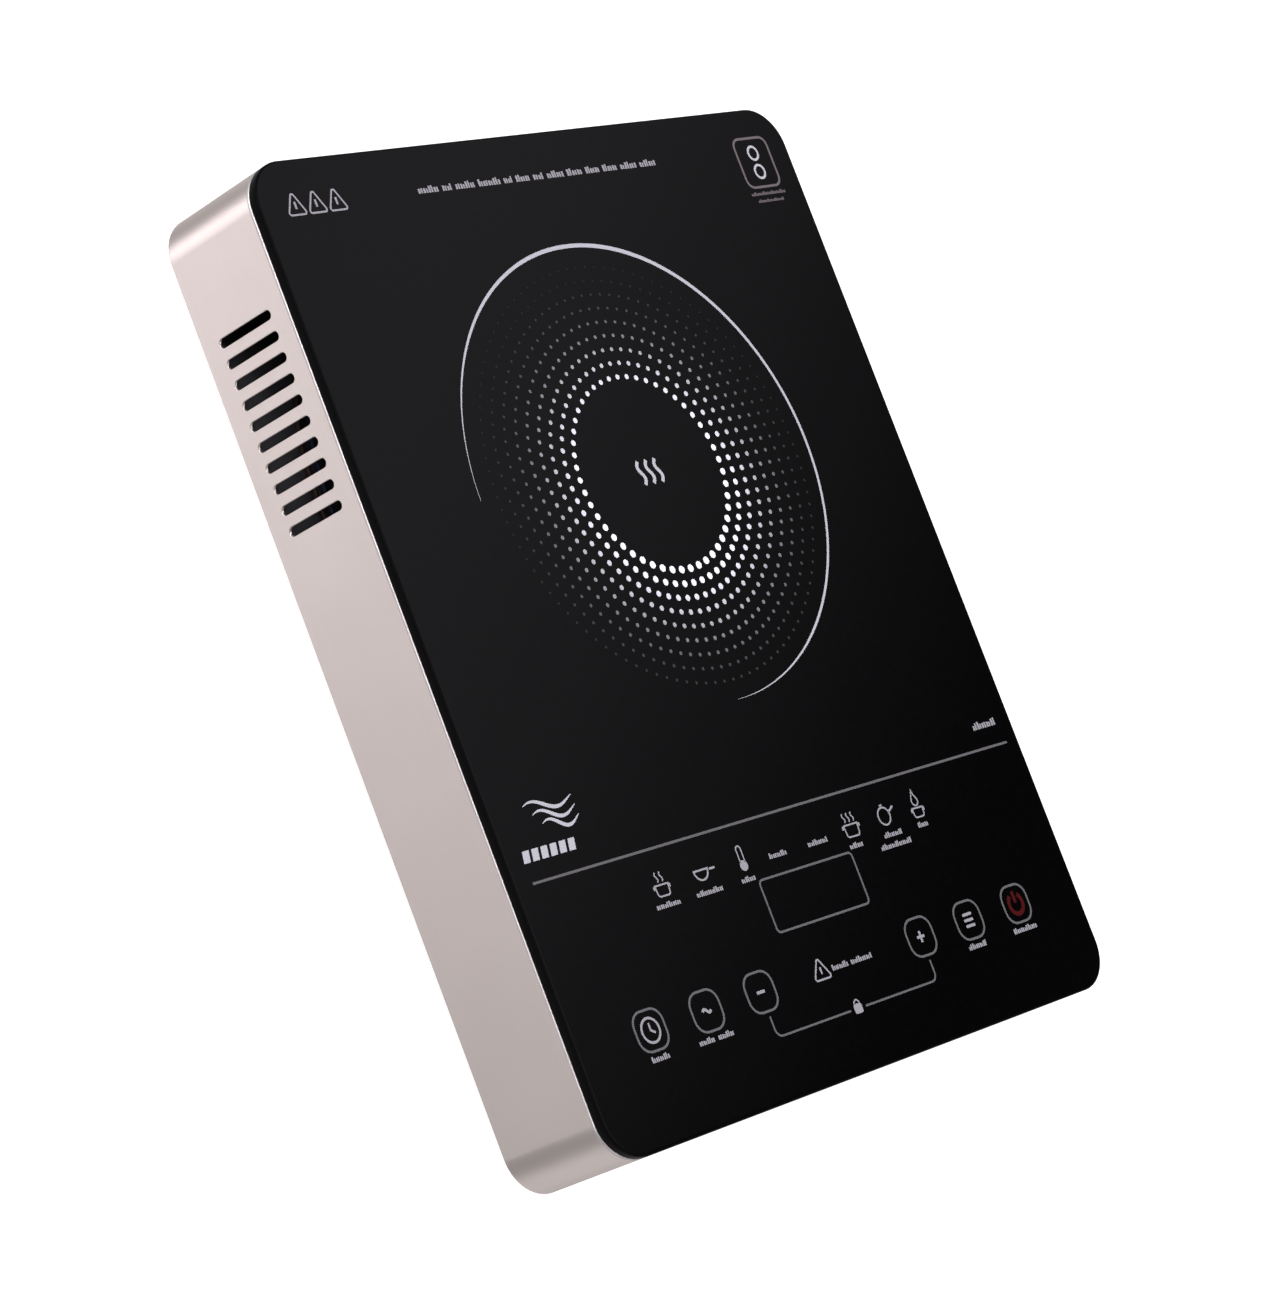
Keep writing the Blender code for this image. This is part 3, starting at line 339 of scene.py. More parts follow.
class Finish:
    """A Principled material whose colour, roughness and relief nodes work out, laid out in millimetres."""

    def __init__(self, name, **constants):
        self.material = MATERIALS[name] = bpy.data.materials.new(name)
        self.material.use_nodes = True
        self.tree = self.material.node_tree
        self.shader = self.tree.nodes["Principled BSDF"]
        for socket, value in constants.items():
            self.shader.inputs[socket.replace("_", " ")].default_value = value
        coordinates = self.add("ShaderNodeTexCoord").outputs["Object"]
        self.place = self.scaled(coordinates, (1 / MM,) * 3)

    def add(self, kind, **settings):
        """A new node."""
        node = self.tree.nodes.new(kind)
        for key, value in settings.items():
            setattr(node, key, value)
        return node

    def feed(self, node, **sockets):
        """Links outputs, or sets values, to a node's inputs by name."""
        for name, value in sockets.items():
            socket = node.inputs[name.replace("_", " ")]
            if isinstance(value, bpy.types.NodeSocket):
                self.tree.links.new(value, socket)
            else:
                socket.default_value = value

    def scaled(self, vector, scale):
        """A vector, stretched by a scale for each axis."""
        node = self.add("ShaderNodeVectorMath", operation="MULTIPLY")
        self.tree.links.new(vector, node.inputs[0])
        node.inputs[1].default_value = scale
        return node.outputs[0]

    def noise(self, scale, detail=3.0, stretch=None):
        """Soft noise, with scale features to a millimetre; stretch thins them along an axis."""
        node = self.add("ShaderNodeTexNoise")
        place = self.scaled(self.place, stretch) if stretch else self.place
        self.feed(node, Vector=place, Scale=scale, Detail=detail)
        return node.outputs["Fac"]

    def cells(self, scale, output="Distance"):
        """Voronoi cells, with scale cells to a millimetre."""
        node = self.add("ShaderNodeTexVoronoi")
        self.feed(node, Vector=self.place, Scale=scale)
        return node.outputs[output]

    def bands(self, scale, direction, distortion=0.0):
        """Even bands across an axis."""
        node = self.add("ShaderNodeTexWave", bands_direction=direction)
        self.feed(node, Vector=self.place, Scale=scale, Distortion=distortion)
        return node.outputs["Fac"]

    def blend(self, value, *colours):
        """A colour between evenly spaced colours, by a value from 0 to 1."""
        node = self.add("ShaderNodeValToRGB")
        stops = node.color_ramp.elements
        for number, colour in enumerate(colours):
            place = number / (len(colours) - 1)
            if 0 < number < len(colours) - 1:
                stop = stops.new(place)
            else:
                stop = stops[-1 if number else 0]
                stop.position = place
            stop.color = (*colour, 1.0)
        self.feed(node, Fac=value)
        return node.outputs["Color"]

    def spread(self, value, low, high, start=0.3, end=0.7):
        """The value's range from start to end, spread from low to high."""
        node = self.add("ShaderNodeMapRange")
        self.feed(node, Value=value, From_Min=start, From_Max=end, To_Min=low, To_Max=high)
        return node.outputs["Result"]

    def total(self, *values):
        """The sum of the values."""
        last = values[0]
        for value in values[1:]:
            node = self.add("ShaderNodeMath", operation="ADD")
            self.tree.links.new(last, node.inputs[0])
            self.tree.links.new(value, node.inputs[1])
            last = node.outputs[0]
        return last

    def relief(self, height, depth, strength=1.0):
        """Raises the surface by a height from 0 to 1, times depth in millimetres."""
        node = self.add("ShaderNodeBump")
        self.feed(node, Height=height, Distance=depth * MM, Strength=strength)
        self.feed(self.shader, Normal=node.outputs["Normal"])

    def done(self, colour, roughness):
        """Links the colour and the roughness."""
        self.feed(self.shader, Base_Color=colour, Roughness=roughness)

    def follow(self, pattern, colours, roughness, depth=0.0, strength=1.0):
        """Lets the colour and the roughness, and the relief if it has a depth, follow one pattern."""
        if depth:
            self.relief(pattern, depth, strength)
        self.done(self.blend(pattern, *colours), self.spread(pattern, *roughness))


def tinted(colour, factor):
    """A colour made lighter or darker."""
    return tuple(min(value * factor, 1.0) for value in colour)


def moulded(name, colour, roughness, grain, depth, **constants):
    """Moulded plastic or rubber: a fine eroded texture and a slight cloudiness."""
    finish = Finish(name, **constants)
    clouds = finish.noise(0.04)
    texture = finish.noise(grain, detail=5.0)
    finish.relief(texture, depth, 0.6)
    shade = finish.total(finish.spread(clouds, 0.0, 0.6), finish.spread(texture, 0.0, 0.4))
    finish.done(finish.blend(shade, tinted(colour, 0.82), tinted(colour, 1.22)),
                finish.spread(texture, roughness - 0.07, roughness + 0.08))


def drawn_metal(name, colour, roughness, along=(1.0, 1.0, 1.0), depth=0.004):
    """Rolled, drawn or brushed metal: fine streaks, short across and long along them."""
    finish = Finish(name, Metallic=1.0)
    streaks = finish.noise(0.35, detail=4.0, stretch=along)
    clouds = finish.noise(0.025)
    finish.relief(streaks, depth, 0.5)
    shade = finish.total(finish.spread(streaks, 0.0, 0.5), finish.spread(clouds, 0.0, 0.5))
    finish.done(finish.blend(shade, tinted(colour, 0.93), tinted(colour, 1.05)),
                finish.spread(streaks, roughness - 0.05, roughness + 0.06))


def glass_ceramic():
    """Black glass-ceramic: a hard gloss with a faint wave and the last trace of a wipe."""
    finish = Finish("glass_ceramic", IOR=1.52)
    smear = finish.noise(0.02, detail=4.0, stretch=(1.0, 2.2, 1.0))
    finish.relief(finish.noise(0.05, detail=1.0), 0.004, 0.25)
    black = finish.blend(finish.noise(0.3), (0.0004, 0.00036, 0.0004), (0.0010, 0.0009, 0.0010))
    finish.done(black, finish.spread(smear, 0.045, 0.075))


def ground_edge():
    """The glass plate's ground edge: matt, and as black as the plate."""
    finish = Finish("ground_edge", IOR=1.52, Specular_IOR_Level=0.015)
    finish.follow(finish.noise(1.5, detail=5.0), ((0.0005, 0.00045, 0.0005), (0.0014, 0.0013, 0.0014)),
                  (0.4, 0.55), 0.01, 0.4)


def band_metal():
    """The wrap's satin metal: brushed along its length, with a warm champagne tint."""
    finish = Finish("band_metal", Metallic=1.0, Anisotropic=1.0, Anisotropic_Rotation=0.25)
    brush = finish.noise(0.6, detail=5.0, stretch=(0.05, 0.05, 9.0))
    clouds = finish.noise(0.012, detail=2.0)
    finish.relief(brush, 0.003, 0.35)
    shade = finish.total(finish.spread(brush, 0.0, 0.45), finish.spread(clouds, 0.0, 0.55))
    tint = finish.blend(shade, (0.347, 0.314, 0.291), (0.387, 0.352, 0.327))
    finish.done(tint, finish.spread(brush, 0.43, 0.49))


def galvanised_steel():
    """Zinc-coated sheet, with its spangle."""
    finish = Finish("galvanised_steel", Metallic=1.0)
    spangle = finish.cells(0.3, output="Color")
    finish.relief(finish.noise(0.8), 0.006, 0.3)
    grey = finish.blend(spangle, (0.53, 0.54, 0.55), (0.58, 0.59, 0.60), (0.63, 0.64, 0.64))
    finish.done(grey, finish.spread(spangle, 0.36, 0.44, 0.0, 1.0))


def laminated_steel():
    """A transformer's stacked laminations, under thin varnish."""
    finish = Finish("transformer_steel", Metallic=0.8)
    finish.follow(finish.bands(0.35, "Y"), ((0.10, 0.09, 0.08), (0.30, 0.29, 0.28)), (0.55, 0.38), 0.05)


def wound_copper():
    """Turns of enamelled wire."""
    finish = Finish("copper", Metallic=1.0)
    turns = finish.bands(0.55, "Z", distortion=0.4)
    finish.follow(turns, ((0.25, 0.09, 0.03), (0.74, 0.33, 0.14)), (0.45, 0.28), 0.12)


def pressed_insulation():
    """Pressed microporous fibre: chalky, with fibres and pits."""
    finish = Finish("insulation", Specular_IOR_Level=0.2)
    fibres = finish.noise(0.9, detail=6.0, stretch=(1.0, 3.0, 1.0))
    pits = finish.cells(0.5)
    finish.relief(finish.total(fibres, finish.spread(pits, -0.4, 0.0, 0.0, 0.4)), 0.12)
    finish.done(finish.blend(fibres, (0.58, 0.55, 0.48), (0.80, 0.78, 0.72)),
                finish.spread(fibres, 0.85, 0.98))


def oxidised_ribbon():
    """Heater ribbon, blued and browned by heat."""
    finish = Finish("ribbon_alloy", Metallic=1.0)
    heat = finish.noise(0.05)
    corrugation = finish.noise(0.9, stretch=(1.0, 1.0, 0.05))
    finish.relief(corrugation, 0.2)
    finish.done(finish.blend(heat, (0.20, 0.17, 0.16), (0.34, 0.30, 0.27), (0.24, 0.22, 0.27)),
                finish.spread(corrugation, 0.40, 0.62))


def circuit_board():
    """Green solder mask over copper tracks, with tinned pads."""
    finish = Finish("circuit_board", IOR=1.5)
    bricks = finish.add("ShaderNodeTexBrick", offset=0.37, squash=1.6)
    finish.feed(bricks, Vector=finish.place, Scale=0.16, Mortar_Size=0.03, Mortar_Smooth=0.2,
                Color1=(0.0, 0.0, 0.0, 1.0), Color2=(0.12, 0.12, 0.12, 1.0), Mortar=(1.0, 1.0, 1.0, 1.0))
    tracks = bricks.outputs["Color"]
    finish.relief(tracks, 0.05)
    mask = finish.blend(tracks, (0.020, 0.115, 0.040), (0.045, 0.215, 0.085))
    finish.done(mask, finish.spread(finish.noise(0.3), 0.30, 0.45))


def glazed(name, colour, roughness):
    """A glazed ceramic or fused tube: glossy, speckled and a little uneven."""
    finish = Finish(name, IOR=1.55)
    specks = finish.noise(1.4, detail=6.0)
    finish.relief(finish.noise(0.25), 0.04, 0.5)
    finish.done(finish.blend(specks, tinted(colour, 0.85), colour, tinted(colour, 1.08)),
                finish.spread(specks, roughness - 0.06, roughness + 0.08))


def sleeved_wire(name, colour):
    """A braided glass-fibre sleeve over a wire."""
    finish = Finish(name, Specular_IOR_Level=0.3)
    finish.follow(finish.cells(1.5), (colour, tinted(colour, 0.7)), (0.6, 0.85), 0.1)


def ink(name, colour, roughness=0.42, gloss=0.4):
    """Fired enamel print: slightly grainy, like the screen that it went through."""
    finish = Finish(name, IOR=1.45, Specular_IOR_Level=gloss)
    finish.follow(finish.noise(4.0, detail=4.0), (tinted(colour, 0.88), tinted(colour, 1.1)),
                  (roughness - 0.05, roughness + 0.08))


def faded_ink():
    """The dots' ink, printed thinner the further it is from the brightest place, in front of their middle."""
    finish = Finish("ink_dots", IOR=1.45, Specular_IOR_Level=0.12)
    brightest = (DOTS_CENTRE[0] + 1.0, DOTS_CENTRE[1] - 5.5, GLASS_HIGH.z)
    offset = finish.add("ShaderNodeVectorMath", operation="DISTANCE")
    finish.tree.links.new(finish.place, offset.inputs[0])
    offset.inputs[1].default_value = brightest
    last = DOT_FIRST + DOT_PITCH * (DOT_RINGS - 1)
    share = finish.spread(offset.outputs["Value"], 0.0, 1.0, DOT_FIRST, last)
    levels = (0.47, 0.28, 0.10, 0.027, 0.008)
    colour = finish.blend(share, *[(0.96 * level, 0.98 * level, 1.03 * level) for level in levels])
    finish.done(colour, finish.spread(finish.noise(4.0), 0.38, 0.5))


def label_foil():
    """A silver foil label."""
    finish = Finish("label_foil", Metallic=0.7)
    finish.follow(finish.noise(2.5, detail=5.0), ((0.46, 0.46, 0.47), (0.60, 0.60, 0.61)), (0.38, 0.5),
                  0.01, 0.4)


def floor_paint():
    """The table top: a mid grey that gives off an even white light, so that it looks white all over."""
    finish = Finish("floor_paint", Specular_IOR_Level=0.2)
    finish.follow(finish.noise(0.02), ((0.20, 0.20, 0.20), (0.22, 0.22, 0.22)), (0.65, 0.75))
    finish.feed(finish.shader, Emission_Color=(1.0, 1.0, 1.0, 1.0), Emission_Strength=0.95)


MOULDED = (         # name, colour, roughness, grain and depth
    ("silicone", (0.02, 0.02, 0.02), 0.55, 1.6, 0.01),
    ("black_plastic", (0.022, 0.022, 0.024), 0.5, 1.6, 0.02),
    ("base_plastic", (0.026, 0.026, 0.028), 0.55, 2.2, 0.05),
    ("grey_plastic", (0.19, 0.19, 0.20), 0.5, 1.6, 0.02),
    ("fan_plastic", (0.04, 0.04, 0.044), 0.36, 1.6, 0.01),
    ("rubber", (0.028, 0.028, 0.028), 0.72, 1.0, 0.03),
    ("relay_case", (0.04, 0.13, 0.42), 0.32, 1.6, 0.008),
    ("capacitor_case", (0.68, 0.47, 0.05), 0.36, 1.6, 0.008),
    ("dark_resin", (0.018, 0.018, 0.019), 0.38, 1.6, 0.02),
    ("terminal_plastic", (0.72, 0.71, 0.66), 0.42, 1.6, 0.01),
    ("display_case", (0.02, 0.012, 0.012), 0.2, 1.6, 0.002),
    ("wire_red", (0.46, 0.025, 0.025), 0.42, 1.6, 0.008),
    ("wire_grey", (0.33, 0.33, 0.34), 0.46, 1.6, 0.01))
# The mains leads' brown and blue, painted far darker than their insulation is: painted shade for the dim
# inside of the housing.
PAINTED_SHADE_WIRES = (("wire_brown", (0.02, 0.009, 0.006)), ("wire_blue", (0.003, 0.006, 0.022)))
INKS = (("ink_silver", (0.235, 0.24, 0.255)), ("ink_grey", (0.058, 0.058, 0.060)),
        ("ink_pale", (0.155, 0.155, 0.165)), ("ink_mauve", (0.067, 0.058, 0.062)),
        ("ink_black", (0.02, 0.02, 0.021)))


def make_materials():
    """The finishes of the record's slots, and the others."""
    for make in (glass_ceramic, ground_edge, band_metal, galvanised_steel, laminated_steel, wound_copper,
                 pressed_insulation, oxidised_ribbon, circuit_board, faded_ink, label_foil, floor_paint):
        make()
    for row in MOULDED:
        moulded(*row)
    # The mains leads, with their colours painted dark as shade.
    for name, colour in PAINTED_SHADE_WIRES:
        moulded(name, colour, 0.55, 1.6, 0.008, Specular_IOR_Level=0.2)
    for name, colour in INKS:
        ink(name, colour)
    ink("ink_red", (0.03, 0.0006, 0.0009), gloss=0.15)
    # The lip's metal is painted darker than the band's, though it is the same sheet: painted shade that tones
    # down the highlight along the rolled top edge.
    drawn_metal("band_lip", (0.30, 0.288, 0.28), 0.5, depth=0.001)
    drawn_metal("bright_steel", (0.62, 0.62, 0.61), 0.24, along=(2.0, 2.0, 0.6))
    drawn_metal("spring_steel", (0.58, 0.55, 0.49), 0.28)
    drawn_metal("aluminium", (0.72, 0.73, 0.75), 0.34, along=(4.0, 4.0, 0.1))
    drawn_metal("brass", (0.68, 0.47, 0.19), 0.34)
    glazed("quartz", (0.72, 0.73, 0.71), 0.16)
    glazed("ceramic", (0.78, 0.76, 0.70), 0.32)
    sleeved_wire("wire_white", (0.75, 0.73, 0.68))


def dress_cad_nodes():
    """Gives every CAD node that stays the finish of its slot in the record."""
    for part in frame["record"]["subparts"]:
        node = frame["nodes"][part["node"]]
        node.data.materials.clear()
        node.data.materials.append(MATERIALS[part["material_slot"]])


def refine_cad_nodes():
    """Rounds the wires and springs that stay from the CAD, and eases the edges of the other pieces."""
    for part in frame["record"]["subparts"]:
        node = frame["nodes"][part["node"]]
        if any(word in node.name for word in ("lead", "spring", "ribbon")):
            weld(node)
            rounding = node.modifiers.new("Round", "SUBSURF")
            rounding.levels = rounding.render_levels = 2
            node.data.shade_smooth()
        else:
            ease_edges(node, 0.25)


# ---------------------------------------------------------------- glass and band

def make_glass():
    """The glass-ceramic plate, with ground edges and a narrow arris, all but its flat top in the matt ground
    finish.
    """
    low, high, arris, arris_steps = GLASS_LOW.z, GLASS_FACE, 0.7, 6
    rows = [(4.0, low), (0.7, low), (0.2, low + 0.2), (0.0, low + 0.7)]
    for step in range(arris_steps + 1):
        turn = math.pi / 2 * step / arris_steps
        rows.append((arris * (1 - math.cos(turn)), high - arris * (1 - math.sin(turn))))
    rows += [(arris + 0.8, high), (arris + 4.0, high)]
    mesh = bmesh.new()
    add_section(mesh, body_outline, rows, closed=False)
    for face in mesh.faces:
        face.material_index = int(face.calc_center_median().z < high - 0.001)
    plate = new_piece("glass_plate", mesh, "glass_ceramic", replaces=["glass_top_plate"])
    plate.data.materials.append(MATERIALS["ground_edge"])


def make_side_band():
    """The metal wrap: its wall, the lip rolled over under the glass, and its vent slots."""
    low, high = BAND_LOW.z, BAND_HIGH.z + LIP_RISE
    corner_points = ((0.0, low), (0.0, high), (FLANGE, high), (FLANGE, high - WALL), (WALL, high - WALL),
                     (WALL, low))
    section = filleted(corner_points, (0.35, 0.8, 0.3, 0.3, 0.3, 0.35), steps=5)
    mesh = bmesh.new()
    add_section(mesh, body_outline, section)
    band = new_piece("band", mesh, "band_metal", replaces=["side_band"])
    middle, half = (SLOT_HIGH + SLOT_LOW) / 2, (SLOT_HIGH - SLOT_LOW) / 2
    cutter = bmesh.new()
    outline = stadium(SLOT_WIDTH / 2, half)
    for number in range(SLOT_COUNT):
        y = SLOT_FIRST_Y - number * SLOT_PITCH
        for side in (-1, 1):
            ends = (side * (HALF_X - 3), side * (HALF_X + 3))
            join_loops(cutter, [[(x, y + a, middle + b) for a, b in outline] for x in ends], closed=False)
    hole = circle(GLAND_HOLE, 48, (GLAND_X, GLAND_Z))
    join_loops(cutter, [[(x, y, z) for x, z in hole] for y in (HALF_Y - 3, HALF_Y + 3)], closed=False)
    combine(band, "DIFFERENCE", cutter)
    # The rolled top takes the darker lip metal: painted shade over its highlight.
    band.data.materials.append(MATERIALS["band_lip"])
    for face in band.data.polygons:
        face.material_index = int(face.center.z > (high - WALL) * MM)
    ease_edges(band, 0.25)


# ---------------------------------------------------------------- base pan, feet and screws

def bent_slot(centre, radius, width, start, sweep, steps=10):
    """A slot with round ends, bent round a centre."""
    lead = math.degrees(width / 2 / radius)
    start, end = math.degrees(start) + lead, math.degrees(start + sweep) - lead

    def round_end(turn, first):
        """Points round the slot's end at a turn, without the two where it meets the sides."""
        angle = math.radians(turn)
        tip = (centre[0] + radius * math.cos(angle), centre[1] + radius * math.sin(angle))
        return arc(tip, width / 2, first, first + 180.0, 6)[1:-1]

    return (arc(centre, radius + width / 2, start, end, steps) + round_end(end, end)
            + arc(centre, radius - width / 2, end, start, steps) + round_end(start, start + 180.0))


def make_base_pan():
    """The moulded tray: intake grille, vents, foot and screw seats, and a field for the rating plate."""
    low, top, inset = PAN_LOW.z, PAN_HIGH.z, HALF_X - PAN_HIGH.x
    floor, inner = low + PAN_FLOOR, inset + 2.0
    rows = ((inset + 14.0, low), (inset + 1.2, low), (inset + 0.35, low + 0.35), (inset, low + 1.2),
            (inset, top - 0.3), (inset + 0.3, top), (inner - 0.3, top), (inner, top - 0.3),
            (inner, floor + 0.8), (inner + 0.8, floor), (inner + 12.0, floor))
    mesh = bmesh.new()
    add_section(mesh, body_outline, rows, closed=False)
    pan = new_piece("pan", mesh, "base_plastic", replaces=["base_pan"])

    added = bmesh.new()
    for place in STANDOFFS:
        add_turned(added, ((5.2, floor - 1), (5.2, floor + 0.2), (4.0, floor + 1.4), (4.0, 17.5),
                           (3.8, 17.7)), 28, place)
    for place in FAN_CORNERS:
        add_turned(added, ((4.2, floor - 1), (4.2, floor + 0.2), (3.6, floor + 0.9), (3.6, 14.4),
                           (3.4, 14.6)), 28, place)
    section = filleted([(33.6, low - 0.9), (36.6, low - 0.9), (36.6, low + 1.0), (33.6, low + 1.0)],
                       [0.6, 0.6, 0.0, 0.0])
    add_turned(added, section, 96, FAN, ring=True)
    section = filleted([(11.9, low - 0.5), (13.6, low - 0.5), (13.6, low + 1.0), (11.9, low + 1.0)],
                       [0.35, 0.35, 0.0, 0.0])
    for node in nodes_with("foot_"):
        add_turned(added, section, 56, middle(node), ring=True)
    combine(pan, "UNION", added)
    cut_base_pan(pan, low, floor)
    ease_edges(pan, 0.22)


def cut_base_pan(pan, low, floor):
    """The tray's seats, holes, grille, vents and sunken fields, between its underside and its floor."""
    through = (low - 2.0, floor + 2.0)
    cutter = bmesh.new()
    seat = low + 1.3
    for node in nodes_with("base_screw_"):
        add_turned(cutter, ((4.9, low - 2.0), (4.9, low - 0.01), (4.2, low + 0.5), (4.2, seat), (2.2, seat),
                            (2.2, floor + 2.0)), 32, middle(node))
    for node in nodes_with("foot_"):
        add_prism(cutter, circle(3.4, 28, middle(node)), *through)
    for node in nodes_with("bracket_screw_"):
        add_prism(cutter, circle(2.0, 24, middle(node)), *through)
    for place in (FAN_CORNERS[2], FAN_CORNERS[1]):
        add_prism(cutter, circle(2.0, 24, place), low + 1.0, FAN_LOW.z + 2.0)
    combine(pan, "DIFFERENCE", cutter)
    cutter = bmesh.new()
    for radius, count in GRILLE:
        pitch = 2 * math.pi / count
        for number in range(count):
            outline = bent_slot(FAN, radius, GRILLE_WIDTH, number * pitch, pitch - GRILLE_RIB / radius)
            add_prism(cutter, outline, *through)
    combine(pan, "DIFFERENCE", cutter)
    cutter = bmesh.new()
    vent = stadium(VENT_WIDTH / 2, VENT_LENGTH / 2)
    for column in range(VENT_COLUMNS):
        x = (column - (VENT_COLUMNS - 1) / 2) * VENT_PITCH
        for row in VENT_ROWS:
            add_prism(cutter, [(x + across, row + along) for across, along in vent], *through)
    combine(pan, "DIFFERENCE", cutter)
    cutter = bmesh.new()
    x, y = PLATE_HALF
    add_prism(cutter, rounded_rectangle(x + 0.6, y + 0.6, 2.6, steps=5, centre=PLATE_PLACE),
              low - 2.0, low + 0.5)
    add_section(cutter, lambda side: rounded_rectangle(HALF_X - side, HALF_Y - side, 26.0 - side),
                ((16.0, low - 2.0), (16.0, low + 0.45), (17.2, low + 0.45), (17.2, low - 2.0)))
    combine(pan, "DIFFERENCE", cutter)
    cutter = bmesh.new()
    for place in EJECTOR_MARKS:
        add_prism(cutter, circle(3.2, 28, place), low - 2.0, low + 0.15)
    combine(pan, "DIFFERENCE", cutter)


def make_rating_plate():
    """The foil plate under the appliance, with plain bars where the real one has its text."""
    low = PAN_LOW.z
    mesh = bmesh.new()
    add_prism(mesh, rounded_rectangle(*PLATE_HALF, 2.0, steps=5, centre=PLATE_PLACE), low + 0.12, low + 0.5)
    new_piece("rating_plate", mesh, "label_foil")
    lines = Print("rating_plate_lines", "ink_black")
    lines.heights = (low + 0.06, low + 0.14)
    x, y = PLATE_PLACE
    lines.line(rounded_rectangle(PLATE_HALF[0] - 2.0, PLATE_HALF[1] - 2.0, 1.4, steps=4, centre=PLATE_PLACE),
               0.35, closed=True)
    for row in range(7):
        for column, length in ((-30.0, 12.0), (-14.0, 17.0 - 2.0 * (row % 3)), (8.0, 19.0 - 3.0 * (row % 2))):
            lines.bar(x + column, x + column + length, y + 14.4 - 4.0 * row, 1.1)
    for row in range(3):
        lines.line(circle(2.3, 24, (x + 25.0 - 7.0 * row, y - 14.8)), 0.4, closed=True)
    lines.finish()


def make_feet():
    """Four rubber feet, dished underneath and grooved round the side, each with its barbed neck."""
    profile = ((3.5, 1.0), (4.4, 0.8), (5.3, 0.15), (6.0, 0.0), (7.3, 0.05), (8.6, 0.45), (9.35, 1.1),
               (9.6, 2.0), (9.75, 3.2), (9.4, 3.4), (9.42, 3.8), (9.9, 4.0), (10.1, 5.4), (9.75, 5.6),
               (9.77, 6.0), (10.3, 6.2), (10.75, 8.7), (10.9, 9.2), (10.75, 9.42), (3.3, 9.45), (3.0, 9.7),
               (3.0, 12.55), (3.9, 12.57), (4.2, 12.85), (2.5, 14.5), (1.9, 14.75))
    for node in nodes_with("foot_"):
        mesh = bmesh.new()
        add_turned(mesh, profile, 56, middle(node))
        new_piece(f"rubber_{node}", mesh, "rubber", replaces=[node], smooth_under=50.0)


def make_screw(node, head_up):
    """A cross-recessed screw in place of a CAD one: domed head, thread and point."""
    low, high = corners(node)
    face, tip = (high.z, low.z) if head_up else (low.z, high.z)
    sign = -1 if head_up else 1
    seat = 2.0 if head_up else 0.9
    head = ((1.8, 0.0), (2.7, 0.06), (3.35, 0.28), (3.6, 0.6), (3.6, seat - 0.06), (3.5, seat), (1.45, seat))
    profile = [(radius, face + sign * depth) for radius, depth in head]
    depth, pitch, core, crest = seat + 1.0, 0.8, 1.25, 1.6
    length = abs(tip - face)
    while depth + pitch < length - 1.4:
        profile += [(core, face + sign * depth), (crest, face + sign * (depth + 0.35)),
                    (core, face + sign * (depth + 0.7))]
        depth += pitch
    profile += [(1.2, face + sign * (length - 1.0)), (0.35, tip)]
    mesh = bmesh.new()
    add_turned(mesh, profile, 28, middle(node))
    piece = new_piece(f"cross_{node}", mesh, "bright_steel", replaces=[node])
    x, y = middle(node)
    reach, half = 2.0, 0.42
    heights = sorted((face - sign, face + sign * 0.62))
    for wide, tall in ((reach, half), (half, reach)):
        recess = bmesh.new()
        add_box(recess, (x - wide, x + wide), (y - tall, y + tall), heights)
        combine(piece, "DIFFERENCE", recess)
    ease_edges(piece, 0.08, segments=1)


def make_screws():
    """Every screw."""
    for node in nodes_with("screw_"):
        make_screw(node, head_up=not node.startswith("base_"))


def make_gland():
    """The cord's bushing in the back: a domed collar, a flange inside and a ribbed bore."""
    low, high = corners("cord_gland")
    face, neck, flange, inner_wall = high.y, low.y, 176.0, 178.7
    outline = [(8.0, face), (5.2, face), (3.9, face - 1.2)]
    ribs = 5
    for rib in range(ribs):
        start = face - 1.8 - rib * (face - neck - 3.0) / ribs
        outline += [(3.9, start), (4.25, start - 0.4), (4.25, start - 0.9), (3.9, start - 1.3)]
    outline += [(3.9, neck), (6.5, neck), (6.5, flange), (11.0, flange), (11.0, inner_wall),
                (8.0, inner_wall)]
    corner_radii = [0.5, 0.5, 0.4] + [0.0] * (4 * ribs) + [0.3, 0.4, 0.4, 0.5, 0.4, 0.0]
    mesh = bmesh.new()
    add_turned(mesh, filleted(outline, corner_radii), 64, (GLAND_X, GLAND_Z), ring=True)
    for vert in mesh.verts:
        x, z, y = vert.co
        vert.co = (x, y, z)
    new_piece("gland", mesh, "rubber", replaces=["cord_gland"], smooth_under=40.0)


# ---------------------------------------------------------------- fan

